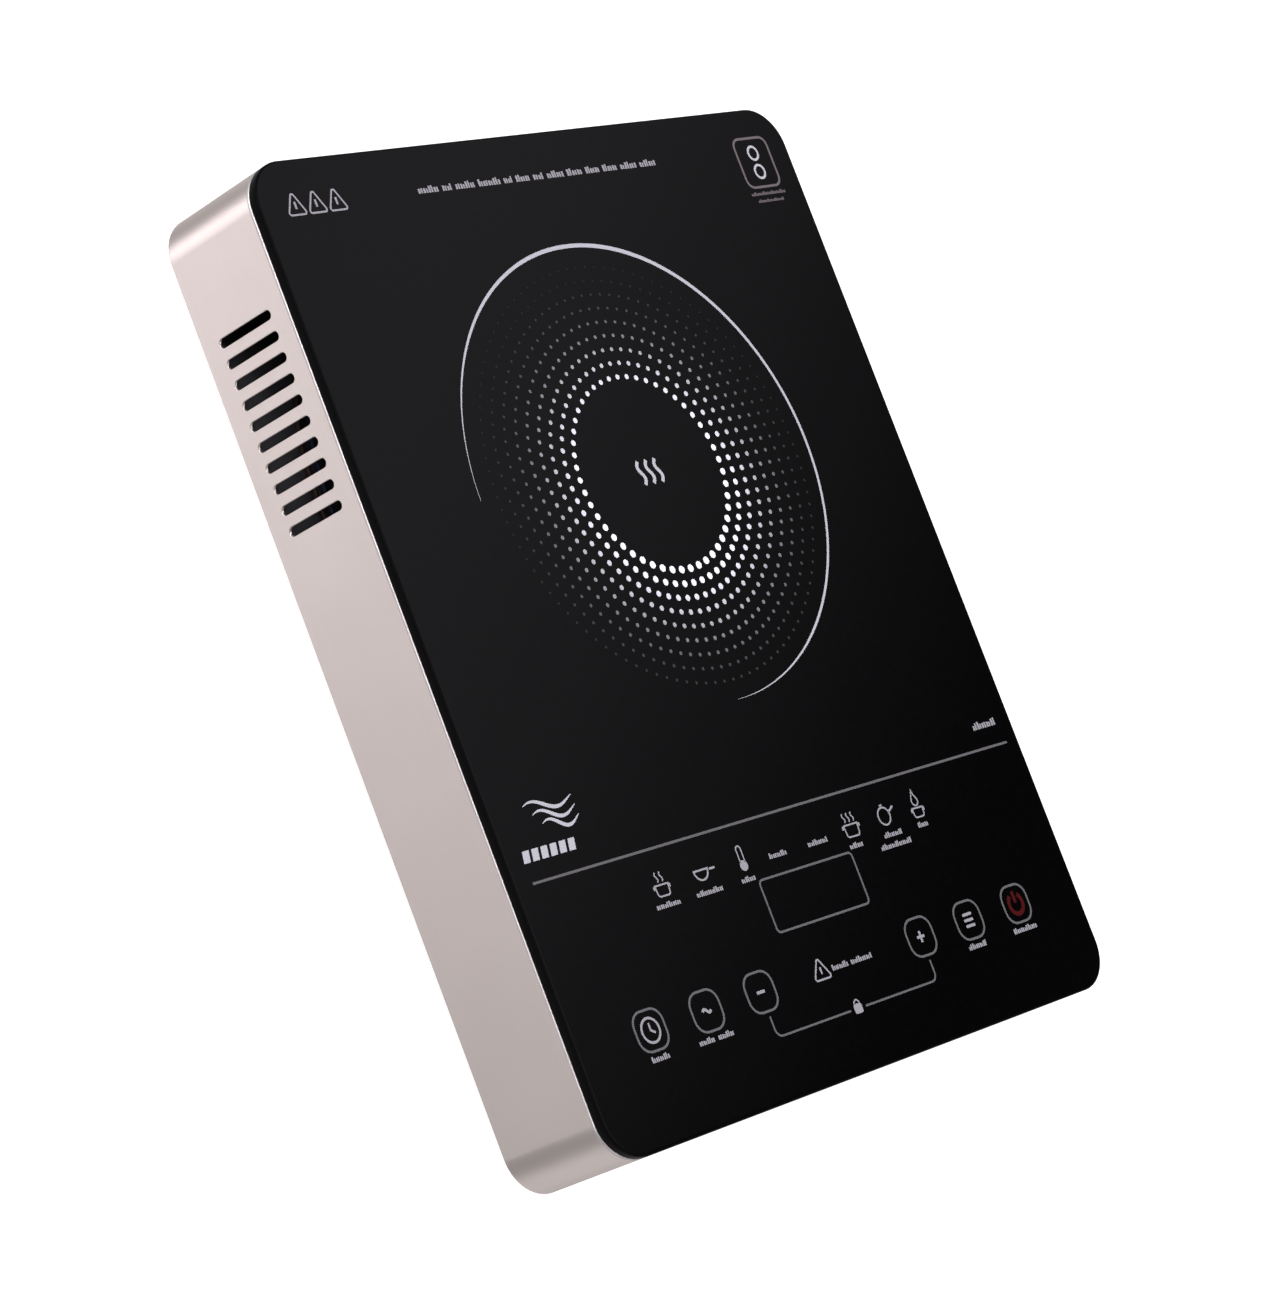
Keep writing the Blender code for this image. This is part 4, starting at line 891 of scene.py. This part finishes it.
def make_fan_frame():
    """The fan's frame: a flared round duct, four struts, and a hub with its bearing tube."""
    low, high = FAN_LOW.z, FAN_HIGH.z
    half = FAN_HIGH.x - FAN[0]
    mesh = bmesh.new()
    add_prism(mesh, rounded_rectangle(half, half, 4.0, steps=8, centre=FAN), low, high)
    shell = new_piece("fan_shell", mesh, "black_plastic", replaces=["fan_frame"])
    cutter = bmesh.new()
    duct, flare = DUCT_RADIUS, 1.6
    turns = [math.pi / 2 * step / 5 for step in range(6)]
    lips = [(duct + flare * (1 - math.sin(turn)), flare * (1 - math.cos(turn))) for turn in turns]
    profile = [(duct + flare, low - 2)] + [(radius, low + rise) for radius, rise in lips]
    profile += [(radius, high - rise) for radius, rise in reversed(lips)] + [(duct + flare, high + 2)]
    add_turned(cutter, profile, 96, FAN)
    for place in FAN_CORNERS:
        add_prism(cutter, circle(2.1, 24, place), low - 3, high + 3)
    combine(shell, "DIFFERENCE", cutter)
    added = bmesh.new()
    arm, reach = 2.0, duct + 0.8
    cross = [(reach, -arm), (reach, arm), (arm, arm)]
    outline = []
    for quarter in range(4):
        for x, y in cross:
            for _ in range(quarter):
                x, y = -y, x
            outline.append((FAN[0] + x, FAN[1] + y))
    add_prism(added, outline, low + 0.2, low + 2.0)
    combine(shell, "UNION", added)
    hub = bmesh.new()
    tube_top, bore_top = 24.0, 27.0
    hub_profile = ((11.5, low + 0.1), (13.4, low + 0.1), (14.0, low + 0.6), (14.0, low + 2.1),
                   (5.2, low + 2.1), (4.8, low + 2.5), (4.8, 23.8), (4.6, tube_top))
    add_turned(hub, hub_profile, 64, FAN)
    combine(shell, "UNION", hub)
    bore = bmesh.new()
    add_prism(bore, circle(3.7, 32, FAN), low + 1.2, bore_top)
    combine(shell, "DIFFERENCE", bore)
    ease_edges(shell, 0.2)


def blade_rows(number, steps=7, chord_steps=10):
    """Closed sections of one blade, from inside the hub to the tip."""
    sweep, thick, low, high = math.radians(36), 1.2, 18.4, 28.2
    start = 2 * math.pi * number / BLADES
    rows = []
    for step in range(steps + 1):
        share = step / steps
        radius = HUB_RADIUS - 0.8 + (BLADE_RADIUS - HUB_RADIUS + 0.8) * share
        bottom = start + math.radians(14) * share + thick / radius / 2
        reach = sweep * (1 - 0.35 * share)
        sides = []
        for side in (1, -1):
            edge = []
            for chord in range(chord_steps + 1):
                along = chord / chord_steps
                camber = 0.025 * math.sin(math.pi * along)
                width = thick * (0.3 + 0.7 * math.sin(math.pi * along) ** 0.5)
                angle = bottom + reach * along + camber + side * width / radius / 2
                edge.append((FAN[0] + radius * math.cos(angle), FAN[1] + radius * math.sin(angle),
                             low + (high - low) * along))
            sides.append(edge)
        rows.append(sides[0] + sides[1][::-1])
    return rows


def make_fan_rotor():
    """The impeller, with its hub cup and curved blades, and the shaft that it turns on."""
    low, high, inside, wall = 17.8, 28.9, 27.2, 1.5
    profile = [(HUB_RADIUS - wall, inside), (HUB_RADIUS - wall, low + 0.3), (HUB_RADIUS - wall + 0.3, low),
               (HUB_RADIUS - 0.3, low), (HUB_RADIUS, low + 0.3)]
    profile += [(HUB_RADIUS - 1.6 * (1 - math.cos(math.pi / 2 * step / 6)),
                 high - 1.6 * (1 - math.sin(math.pi / 2 * step / 6))) for step in range(7)]
    profile += [(9.2, high), (9.0, high - 0.35), (3.0, high - 0.35)]
    cup = bmesh.new()
    add_turned(cup, profile, 72, FAN)
    impeller = new_piece("impeller", cup, "fan_plastic", "fan_rotor", replaces=["fan_impeller"])
    for number in range(BLADES):
        blade = bmesh.new()
        join_loops(blade, blade_rows(number), closed=False)
        combine(impeller, "UNION", blade)
    ease_edges(impeller, 0.12, sharper_than=50.0)
    low, high = corners("fan_shaft")
    pin = bmesh.new()
    add_turned(pin, ((1.2, low.z), (1.5, low.z + 0.3), (1.5, high.z - 0.3), (1.2, high.z)), 32, FAN)
    new_piece("shaft", pin, "bright_steel", "fan_rotor", replaces=["fan_shaft"])


# ---------------------------------------------------------------- element and electronics

def spiral_arm(end, outer, step=math.radians(0.8)):
    """Points along one arm of the ribbon's spiral, from the middle out."""
    turns = (outer - RIBBON_INNER) / RIBBON_PITCH
    count = round(2 * math.pi * turns / step)
    points = []
    for number in range(count + 1):
        left = turns * (1 - number / count)
        angle, radius = end + 2 * math.pi * left, outer - RIBBON_PITCH * left
        points.append(Vector((ELEMENT[0] + radius * math.cos(angle), ELEMENT[1] + radius * math.sin(angle))))
    return points


def make_heating_ribbon():
    """The corrugated heating ribbon, in along one arm of its spiral and out along the other."""
    low, high = corners("heating_ribbon")
    apart = math.radians(8)
    first = spiral_arm(RIBBON_END, RIBBON_OUTER)
    second = spiral_arm(RIBBON_END - apart, RIBBON_OUTER - RIBBON_PITCH * (math.pi - apart) / (2 * math.pi))
    path = first[::-1] + second
    travelled, loops = 0.0, []
    for number, point in enumerate(path):
        before, after = path[max(number - 1, 0)], path[min(number + 1, len(path) - 1)]
        travelled += (point - before).length
        along = (after - before).normalized()
        across = Vector((-along.y, along.x))
        wave = RIBBON_WAVE * math.sin(2 * math.pi * travelled / RIBBON_WAVE_LENGTH)
        near = point + across * (wave - RIBBON_HALF_WIDTH)
        far = point + across * (wave + RIBBON_HALF_WIDTH)
        loops.append([(*near, low.z), (*far, low.z), (*far, high.z), (*near, high.z)])
    mesh = bmesh.new()
    join_loops(mesh, loops, closed=False)
    new_piece("corrugated_ribbon", mesh, "ribbon_alloy", replaces=["heating_ribbon"], smooth_under=50.0)


def make_transformer():
    """The transformer: a laminated core with two windows, a winding round its middle leg and a bobbin."""
    low, high = corners("transformer")
    x, y = middle("transformer")
    core_low, window = low.z + 3.0, (low.z + 7.0, high.z - 4.0)
    core = bmesh.new()
    add_box(core, (low.x, high.x), (y - 11.0, y + 11.0), (core_low, high.z))
    piece = new_piece("transformer_core", core, "transformer_steel", replaces=["transformer"])
    cutter = bmesh.new()
    for side in (-8.5, 8.5):
        add_box(cutter, (x + side - 3.5, x + side + 3.5), (y - 15.0, y + 15.0), window)
    combine(piece, "DIFFERENCE", cutter)
    ease_edges(piece, 0.3)
    winding = bmesh.new()
    bottom, top, pitch = window[0] + 1.0, window[1] - 1.0, 0.7
    rows = int((top - bottom) / pitch)
    section = []
    for row in range(rows):
        z = bottom + row * pitch
        section += [(0.25, z), (0.0, z + pitch / 4), (0.0, z + 3 * pitch / 4)]
    section += [(0.25, bottom + rows * pitch), (5.8, bottom + rows * pitch), (5.8, bottom)]
    add_section(winding, lambda side: rounded_rectangle(11.6 - side, 14.2 - side, 6.4 - side, 6, (x, y)),
                section)
    new_piece("transformer_winding", winding, "copper")
    bobbin = bmesh.new()
    for z in (window[0] + 0.1, window[1] - 0.9):
        flange = ((0.0, z), (0.0, z + 0.8), (5.8, z + 0.8), (5.8, z))
        add_section(bobbin, lambda side: rounded_rectangle(11.8 - side, 14.5 - side, 6.4 - side, 6, (x, y)),
                    flange)
    for end in (-1, 1):
        edges = sorted((y + end * 11.2, y + end * 14.5))
        add_box(bobbin, (x - 11.8, x + 11.8), edges, (low.z + 0.6, window[0]))
        for pin in range(5):
            across = x - 10.0 + 5.0 * pin
            add_box(bobbin, (across - 0.4, across + 0.4), (edges[0] + 1.2, edges[1] - 1.2),
                    (low.z, low.z + 0.7))
    new_piece("transformer_bobbin", bobbin, "black_plastic")


def add_lying(mesh, profile, steps, centre, z):
    """A turned shape whose axis lies along X; the profile is (radius, distance along)."""
    drawn = len(mesh.verts)
    add_turned(mesh, profile, steps)
    for vert in list(mesh.verts)[drawn:]:
        across, up, along = vert.co
        vert.co = (centre[0] + along, centre[1] + across, z + up)


def make_small_parts():
    """What a power board of this kind carries between its large parts: cans, resistors, diodes and a chip."""
    board = corners("power_board")[1].z
    cans, tops, bodies, leads, dark = (bmesh.new() for _ in range(5))
    for x, y, radius, height in ((-66.0, -112.0, 5.0, 12.5), (-50.0, -104.0, 3.2, 8.0),
                                 (-12.0, -134.0, 4.0, 9.5)):
        add_turned(cans, ((radius - 0.4, board), (radius, board + 0.4), (radius, board + 1.2),
                          (radius - 0.3, board + 1.5), (radius, board + 1.8), (radius, board + height - 0.6),
                          (radius - 0.5, board + height)), 32, (x, y))
        add_turned(tops, ((radius - 0.7, board + height - 0.4), (radius - 0.7, board + height + 0.1),
                          (radius - 1.2, board + height + 0.05)), 32, (x, y))
    for row in range(5):
        for x, y in ((-44.0, -132.0 + 4.4 * row), (-28.0, -132.0 + 4.4 * row)):
            rounded = ((0.7, -3.2), (1.15, -2.9), (1.2, -2.2), (1.0, -1.6), (1.0, 1.6), (1.2, 2.2),
                       (1.15, 2.9), (0.7, 3.2))
            add_lying(bodies if row % 2 else dark, rounded, 16, (x, y), board + 1.3)
            for end in (-1, 1):
                path = [(x + end * 3.0, y, board + 1.3), (x + end * 4.6, y, board + 1.3),
                        (x + end * 5.0, y, board + 0.9), (x + end * 5.0, y, board - 0.2)]
                add_wire(leads, path, 0.3, 8)
                add_turned(leads, ((0.9, board), (0.75, board + 0.25), (0.3, board + 0.6)), 12,
                           (x + end * 5.0, y))
    chip_x, chip_y = -6.0, -112.0
    add_prism(dark, rounded_rectangle(5.0, 3.2, 0.3, 2, (chip_x, chip_y)), board + 0.6, board + 4.0)
    for pin in range(4):
        for side in (-1, 1):
            x, edge = chip_x - 3.81 + 2.54 * pin, chip_y + side * 3.1
            ends = sorted((edge, edge + side * 1.0))
            add_box(leads, (x - 0.6, x + 0.6), ends, (board + 1.8, board + 2.1))
            ends = sorted((edge + side * 0.7, edge + side * 1.0))
            add_box(leads, (x - 0.3, x + 0.3), ends, (board - 0.1, board + 1.9))
    for x in (-105.0, -99.5):
        add_box(leads, (x - 1.9, x - 1.4), (-76.0, -70.0), (board, board + 6.0))
    for name, mesh, finish in (
            ("capacitor_cans", cans, "dark_resin"), ("capacitor_tops", tops, "aluminium"),
            ("resistors", bodies, "ceramic"), ("diodes_and_chip", dark, "dark_resin"),
            ("component_leads", leads, "bright_steel")):
        new_piece(name, mesh, finish)


def make_terminal_screws():
    """The brass screws in the mains terminal block's ways."""
    high = corners("mains_terminal_block")[1].z
    x, y = middle("mains_terminal_block")
    mesh, slots = bmesh.new(), bmesh.new()
    for way in (-10.0, 0.0, 10.0):
        add_turned(mesh, ((2.3, high - 3.9), (2.3, high - 1.6), (2.0, high - 1.3)), 24, (x + way, y))
        add_box(slots, (x + way - 0.35, x + way + 0.35), (y - 3.0, y + 3.0), (high - 2.2, high))
    combine(new_piece("terminal_screws", mesh, "brass"), "DIFFERENCE", slots)


def make_display_digits():
    """Four unlit figures on the face of the display module."""
    top = corners("display_module")[1].z
    x, y = middle("display_module")
    digits = Print("display_digits", "ink_red")
    digits.heights = (top - 0.1, top + 0.05)
    half, side, upright, stroke = 2.3, 3.1, 4.3, 0.9
    for place in (-16.5, -6.0, 6.0, 16.5):
        for up in (-5.6, 0.0, 5.6):
            digits.line([(x + place - half, y + up), (x + place + half, y + up)], stroke)
        for across in (-side, side):
            for up in (-5.0, 0.7):
                digits.line([(x + place + across, y + up), (x + place + across, y + up + upright)], stroke)
    digits.finish()


# ---------------------------------------------------------------- the print

class Print:
    """Ink on the glass, as thin solid shapes; places are from the glass's middle."""

    def __init__(self, name, finish):
        self.name, self.ink, self.mesh = name, finish, bmesh.new()
        self.heights = (GLASS_FACE, GLASS_HIGH.z)

    def fill(self, outline):
        """A filled shape."""
        add_prism(self.mesh, outline, *self.heights)

    def line(self, points, width=LINE, closed=False):
        """A line along points, mitred at its corners."""
        left, right = edges_of_line(points, width, closed)
        low, high = self.heights
        if closed:
            section = [(left, low), (left, high), (right, high), (right, low)]
            join_loops(self.mesh, [[(*point, z) for point in side] for side, z in section], closed=True)
        else:
            loops = [[(*a, low), (*b, low), (*b, high), (*a, high)] for a, b in zip(left, right)]
            join_loops(self.mesh, loops, closed=False)

    def bar(self, left, right, y, height):
        """A filled bar with softly rounded corners."""
        half = ((right - left) / 2, height / 2)
        middle = ((left + right) / 2, y)
        self.fill(rounded_rectangle(*half, min(*half) * 0.5, steps=3, centre=middle))

    def word(self, left, right, y, height):
        """A stand-in for a printed word: a row of thin strokes that spell nothing."""
        count = max(round((right - left) / (height * 0.48)), 3)
        pitch = (right - left) / count
        foot = y - height / 2
        for number in range(count):
            start = left + number * pitch
            end = start + pitch * (0.62 if number % 2 else 0.76)
            top = foot + height * (0.68, 0.68, 1.0, 0.6, 0.74, 0.68, 0.92)[(3 * number + count) % 7]
            self.fill([(start, foot), (end, foot), (end, top), (start, top)])

    def finish(self):
        """The piece, with everything drawn so far."""
        new_piece(self.name, self.mesh, self.ink)


def print_burner():
    """The cooking zone: dots that shrink and fade outwards, the open ring and a mark of warmth."""
    dots = Print("print_burner_dots", "ink_dots")
    lean_to, lean = math.radians(280), 0.38
    for ring in range(DOT_RINGS):
        count = DOT_COUNT + DOT_MORE * ring
        radius = DOT_FIRST + DOT_PITCH * ring
        for number in range(count):
            angle = 2 * math.pi * number / count
            size = DOT_SIZE * DOT_FADE ** ring * (1 + lean * math.cos(angle - lean_to)) ** 0.5
            centre = (DOTS_CENTRE[0] + radius * math.cos(angle), DOTS_CENTRE[1] + radius * math.sin(angle))
            dots.fill(circle(size / 2, 12, centre))
    dots.finish()

    ring = Print("print_burner_ring", "ink_silver")
    points, widths = [], []
    for (start, start_width), (end, end_width) in zip(ARC_WIDTHS, ARC_WIDTHS[1:]):
        steps = max((start - end) // 2, 1)
        stretch = arc(ZONE, ARC_RADIUS, start, end, steps)
        points += stretch[:-1]
        widths += [start_width + (end_width - start_width) * step / steps for step in range(steps)]
    ring.line(points + [stretch[-1]], widths + [end_width])
    ring.finish()

    warmth = Print("print_centre_mark", "ink_silver")
    for number in (-1, 0, 1):
        wave = []
        for step in range(17):
            share = step / 16
            wave.append((-2.0 + 4.6 * number + 1.1 * math.sin(2 * math.pi * share), 43.2 + 9.0 * share))
        warmth.line(wave, 1.5)
    warmth.finish()


def pot(ink_print, x, y, size):
    """A pot with its lid's knob: a U-shaped body, a rim and two ears."""
    half, tall = size * 0.42, size * 0.5
    body = filleted([(x - half, y), (x - half * 0.9, y - tall), (x + half * 0.9, y - tall), (x + half, y)],
                    [0.0, 1.2, 1.2, 0.0], steps=4)
    ink_print.line(body, 0.6, closed=True)
    ear, ear_end = half * 1.1, half * 1.3
    ink_print.bar(x - ear_end, x - ear, y - 0.8, 1.4)
    ink_print.bar(x + ear, x + ear_end, y - 0.8, 1.4)


def steam(ink_print, x, y, height, count=2):
    """Wavy lines that rise from y."""
    for number in range(count):
        middle = x + (number - (count - 1) / 2) * 2.4
        wave = [(middle + 0.5 * math.sin(2 * math.pi * step / 8), y + height * step / 8) for step in range(9)]
        ink_print.line(wave, 0.55)


def droplet(ink_print, x, y, size):
    """A flame or drop: round below and pointed above."""
    tip = [(x + size * 0.12, y + size * 0.75), (x, y + size * 1.25)]
    ink_print.line(arc((x, y), size / 2, 160.0, 380.0, 14) + tip, 0.6, closed=True)


def print_functions():
    """The row of cooking functions behind the display, each with its label."""
    icons = Print("print_function_icons", "ink_pale")
    labels = Print("print_function_labels", "ink_pale")
    pot(icons, -73.0, -95.2, 8.0)
    steam(icons, -73.0, -94.2, 3.6)

    icons.line(arc((-52.0, -94.4), 3.6, 180.0, 360.0, 10), 0.7, closed=True)
    icons.bar(-47.6, -44.6, -94.8, 0.8)

    stem = filleted([(-31.2, -96.2), (-31.2, -90.2), (-28.8, -90.2), (-28.8, -96.2)], [0.0, 1.1, 1.1, 0.0])
    icons.line(stem, 0.55)
    icons.fill(circle(2.0, 18, (-30.0, -97.4)))

    pot(icons, 31.0, -94.6, 9.0)
    steam(icons, 31.0, -93.6, 3.4, count=3)

    icons.line(circle(3.3, 22, (50.4, -95.4)), 0.65, closed=True)
    icons.line([(53.6, -94.4), (56.6, -92.6)], 0.8)
    icons.bar(49.6, 51.2, -91.3, 0.7)

    droplet(icons, 69.5, -93.4, 3.4)
    pot(icons, 69.5, -96.0, 7.0)
    icons.finish()

    for left, right, y in ((-79.0, -66.5, FUNCTION_LABELS), (-58.0, -44.0, FUNCTION_LABELS),
                           (-34.0, -26.5, FUNCTION_LABELS), (-16.0, -6.5, -97.0), (5.5, 16.5, -97.0),
                           (26.5, 34.0, FUNCTION_LABELS), (46.5, 57.0, FUNCTION_LABELS),
                           (42.5, 60.0, SECOND_LABELS), (66.5, 72.5, FUNCTION_LABELS)):
        labels.word(left, right, y, 2.1)
    labels.finish()


def print_keys():
    """The six touch keys, their signs, their labels and the lock line that joins two of them."""
    frames = Print("print_key_frames", "ink_grey")
    signs = Print("print_key_signs", "ink_pale")
    labels = Print("print_key_labels", "ink_pale")
    row, half_x, half_y, corner = KEY_ROW, 7.35, 7.1, 5.0
    for x in KEY_COLUMNS:
        frames.line(rounded_rectangle(half_x, half_y, corner, steps=6, centre=(x, row)), closed=True)

    signs.line(circle(4.3, 28, (-103.0, row)), 0.9, closed=True)
    signs.line([(-103.0, row + 2.6), (-103.0, row), (-101.0, row - 1.2)], 0.8)
    signs.line([(-76.2 + 4.4 * step / 12, row + 0.7 * math.sin(2 * math.pi * step / 12))
                for step in range(13)], 1.1)
    signs.bar(-47.3, -43.1, row, 1.1)
    signs.bar(43.1, 47.3, row, 1.1)
    signs.bar(44.65, 45.75, row + 1.35, 1.6)
    signs.bar(44.65, 45.75, row - 1.35, 1.6)
    for rise in (-2.2, 0.0, 2.2):
        signs.bar(71.4, 76.6, row + rise, 1.1)
    signs.finish()

    power = Print("print_power_sign", "ink_red")
    power.line(arc((103.0, row), 3.9, 125.0, 415.0, 26), 1.7)
    power.bar(102.2, 103.8, row + 2.6, 4.6)
    power.finish()

    for left, right in ((-107.5, -98.5), (-83.0, -75.0), (-73.2, -65.0), (68.5, 79.0), (96.0, 110.0)):
        labels.word(left, right, KEY_LABELS, 2.2)
    labels.finish()

    reach, gap, foot = 45.25, 4.2, LOCK_ROW
    for side, start, end in ((-1, 180.0, 270.0), (1, 0.0, -90.0)):
        bend = arc((side * (reach - 3.0), foot + 3.0), 3.0, start, end, 6)
        frames.line([(side * reach, -150.0), *bend, (side * gap - 0.5, foot)], 0.75)
    frames.finish()

    lock = Print("print_lock_sign", "ink_pale")
    lock.bar(-2.7, 1.7, LOCK_ROW, 3.6)
    lock.line(arc((-0.5, -155.9), 1.4, 0.0, 180.0, 10), 0.6)
    lock.finish()


def triangle(ink_print, x, y, width, height):
    """A triangle with its point to the back and a small dash inside."""
    points = [(x - width / 2, y - height / 2), (x + width / 2, y - height / 2), (x, y + height / 2)]
    ink_print.line(filleted(points, 0.8, steps=3), 0.7, closed=True)
    ink_print.bar(x - 0.45, x + 0.45, y - height * 0.1, height * 0.32)


def print_panel():
    """The panel's line and display frame, and the plain marks that stand where the real one has text."""
    lines = Print("print_panel_lines", "ink_grey")
    lines.bar(-131.0, 133.0, -82.3, 0.9)
    lines.line(rounded_rectangle(25.8, 9.75, 1.8, steps=4, centre=(0.0, -113.85)), 0.8, closed=True)
    lines.finish()

    notes = Print("print_notes", "ink_pale")
    triangle(notes, -12.0, -140.0, 9.6, 8.0)
    notes.word(-6.0, 3.0, -141.2, 2.2)
    notes.word(4.6, 16.4, -141.2, 2.2)
    for x in (-123.3, -113.5, -103.7):
        triangle(notes, x, 164.0, 9.0, 8.6)
    start = -63.5
    for length in (10.5, 5.0, 10.0, 11.5, 4.6, 7.4, 5.6, 9.0, 8.4, 7.6, 8.0, 9.0, 9.0):
        notes.word(start, start + length, 163.3, 2.7)
        start += length + 1.75
    notes.word(117.0, 131.0, -73.3, 2.9)
    notes.finish()

    mark = Print("print_maker_mark", "ink_silver")
    foot, top, slant = -75.2, -71.0, 0.9
    for number in range(6):
        left = -131.5 + 4.5 * number
        mark.fill([(left, foot), (left + 3.2, foot), (left + 3.2 + slant, top), (left + slant, top)])
    steps = 20
    for number in range(3):
        wave, widths = [], []
        for step in range(steps + 1):
            share = step / steps
            x = -123.0 + 3.2 * number + (24.0 - 3.0 * number) * share
            wave.append((x, -57.5 - 3.6 * number + 1.9 * math.sin(2 * math.pi * share + 0.5)))
            widths.append(0.25 + 1.15 * math.sin(math.pi * share))
        mark.line(wave, widths)
    mark.finish()


def print_badge():
    """The corner badge: a mauve frame with two rings in it and short lines under it."""
    badge = Print("print_badge", "ink_mauve")
    badge.line(rounded_rectangle(9.6, 10.0, 3.6, steps=6, centre=(119.2, 158.2)), 1.0, closed=True)
    badge.word(109.5, 129.5, 145.6, 1.5)
    badge.word(112.0, 127.0, 142.6, 1.3)
    badge.finish()
    rings = Print("print_badge_rings", "ink_silver")
    for y in (162.0, 154.4):
        rings.line(circle(2.7, 26, (119.2, y)), 1.0, closed=True)
    rings.finish()


# ---------------------------------------------------------------- studio

def make_soft_box(height=2.2, side=2.0, power=4.2):
    """A square soft box over the appliance, facing down; its measures are in metres and watts."""
    data = bpy.data.lights.new("soft_box_over", "AREA")
    data.shape, data.size, data.size_y = "RECTANGLE", side, side
    data.energy = power
    lamp = bpy.data.objects.new("soft_box_over", data)
    lamp.location = (0.0, 0.0, height)
    lamp.rotation_euler = (-lamp.location).to_track_quat("-Z", "Y").to_euler()
    bpy.context.scene.collection.objects.link(lamp)


def make_world():
    """The studio by direction: grey walls, cards and flags above them, dark overhead, a glow at the back.

    The turn is measured from -X towards +Y, as a share of a full circle; CARDS gives the cards' brightness
    at some turns, and between them it changes smoothly.
    """
    world = bpy.data.worlds.new("studio")
    bpy.context.scene.world = world
    world.use_nodes = True
    tree = world.node_tree

    def calculate(operation, *values):
        """A Math node's result."""
        node = tree.nodes.new("ShaderNodeMath")
        node.operation = operation
        for socket, value in zip(node.inputs, values):
            if isinstance(value, bpy.types.NodeSocket):
                tree.links.new(value, socket)
            else:
                socket.default_value = value
        return node.outputs[0]

    def smooth_step(value, start, end, low, high):
        """A Map Range node's result, eased at both ends."""
        node = tree.nodes.new("ShaderNodeMapRange")
        node.interpolation_type = "SMOOTHSTEP"
        tree.links.new(value, node.inputs["Value"])
        for socket, number in (("From Min", start), ("From Max", end), ("To Min", low), ("To Max", high)):
            node.inputs[socket].default_value = number
        return node.outputs["Result"]

    split = tree.nodes.new("ShaderNodeSeparateXYZ")
    tree.links.new(tree.nodes.new("ShaderNodeTexCoord").outputs["Generated"], split.inputs[0])
    x, y, z = split.outputs
    turn = calculate("ARCTAN2", y, calculate("MULTIPLY", x, -1.0))
    cards = tree.nodes.new("ShaderNodeValToRGB")
    cards.color_ramp.interpolation = "B_SPLINE"
    stops = cards.color_ramp.elements
    for number, (degrees, brightness) in enumerate(CARDS):
        stop = stops[number] if number < 2 else stops.new(1.0)
        stop.position = 0.5 + degrees / 360
        stop.color = (brightness, brightness, brightness, 1.0)
    tree.links.new(calculate("MULTIPLY_ADD", turn, 0.5 / math.pi, 0.5), cards.inputs["Fac"])
    height = calculate("MULTIPLY", smooth_step(z, *CARD_FOOT, 0.0, 1.0), smooth_step(z, *CARD_TOP, 1.0, 0.0))
    hung = calculate("MULTIPLY", cards.outputs["Color"], calculate("MULTIPLY", height, BRIGHTEST_CARD))
    walls = calculate("ADD", hung, smooth_step(z, *WALL_TOP, WALL_GREY, 0.0))
    glow_place = calculate("ADD", y, calculate("MULTIPLY_ADD", z, GLOW_TILT, -GLOW_START))
    glow = smooth_step(glow_place, 0.0, GLOW_DEPTH, *GLOW_LEVELS)
    light = tree.nodes.new("ShaderNodeCombineColor")
    total = calculate("ADD", walls, glow)
    for channel, share in zip(("Red", "Green", "Blue"), LIGHT_TINT):
        tree.links.new(calculate("MULTIPLY", total, share), light.inputs[channel])
    tree.links.new(light.outputs["Color"], tree.nodes["Background"].inputs["Color"])


def make_floor():
    """The wide table top, just under the feet."""
    mesh = bmesh.new()
    bmesh.ops.create_circle(mesh, cap_ends=True, radius=FLOOR_RADIUS, segments=96)
    for vert in mesh.verts:
        vert.co.z = -FLOOR_DROP
    floor = mesh_object("floor", mesh, MATERIALS["floor_paint"])


def make_camera():
    """The camera, above and to the left of the appliance, and rolled with it."""
    data = bpy.data.cameras.new("camera")
    data.lens, data.sensor_width = LENS, SENSOR
    camera = bpy.data.objects.new("camera", data)
    camera.location = CAMERA_PLACE
    camera.rotation_euler = [math.radians(angle) for angle in CAMERA_TURN]
    bpy.context.scene.collection.objects.link(camera)
    bpy.context.scene.camera = camera


def make_studio():
    """Everything round the appliance."""
    bpy.context.scene.view_settings.view_transform = "Standard"
    make_camera()
    make_world()
    make_floor()
    make_soft_box()


def main():
    """Builds the looks."""
    make_materials()
    dress_cad_nodes()
    refine_cad_nodes()
    make_studio()
    for make in (make_glass, make_side_band, make_base_pan, make_rating_plate, make_feet, make_screws,
                 make_gland, make_fan_frame, make_fan_rotor, make_heating_ribbon, make_transformer,
                 make_small_parts, make_terminal_screws, make_display_digits, print_burner, print_functions,
                 print_keys, print_panel, print_badge):
        make()


main()
bpy.context.view_layer.update()
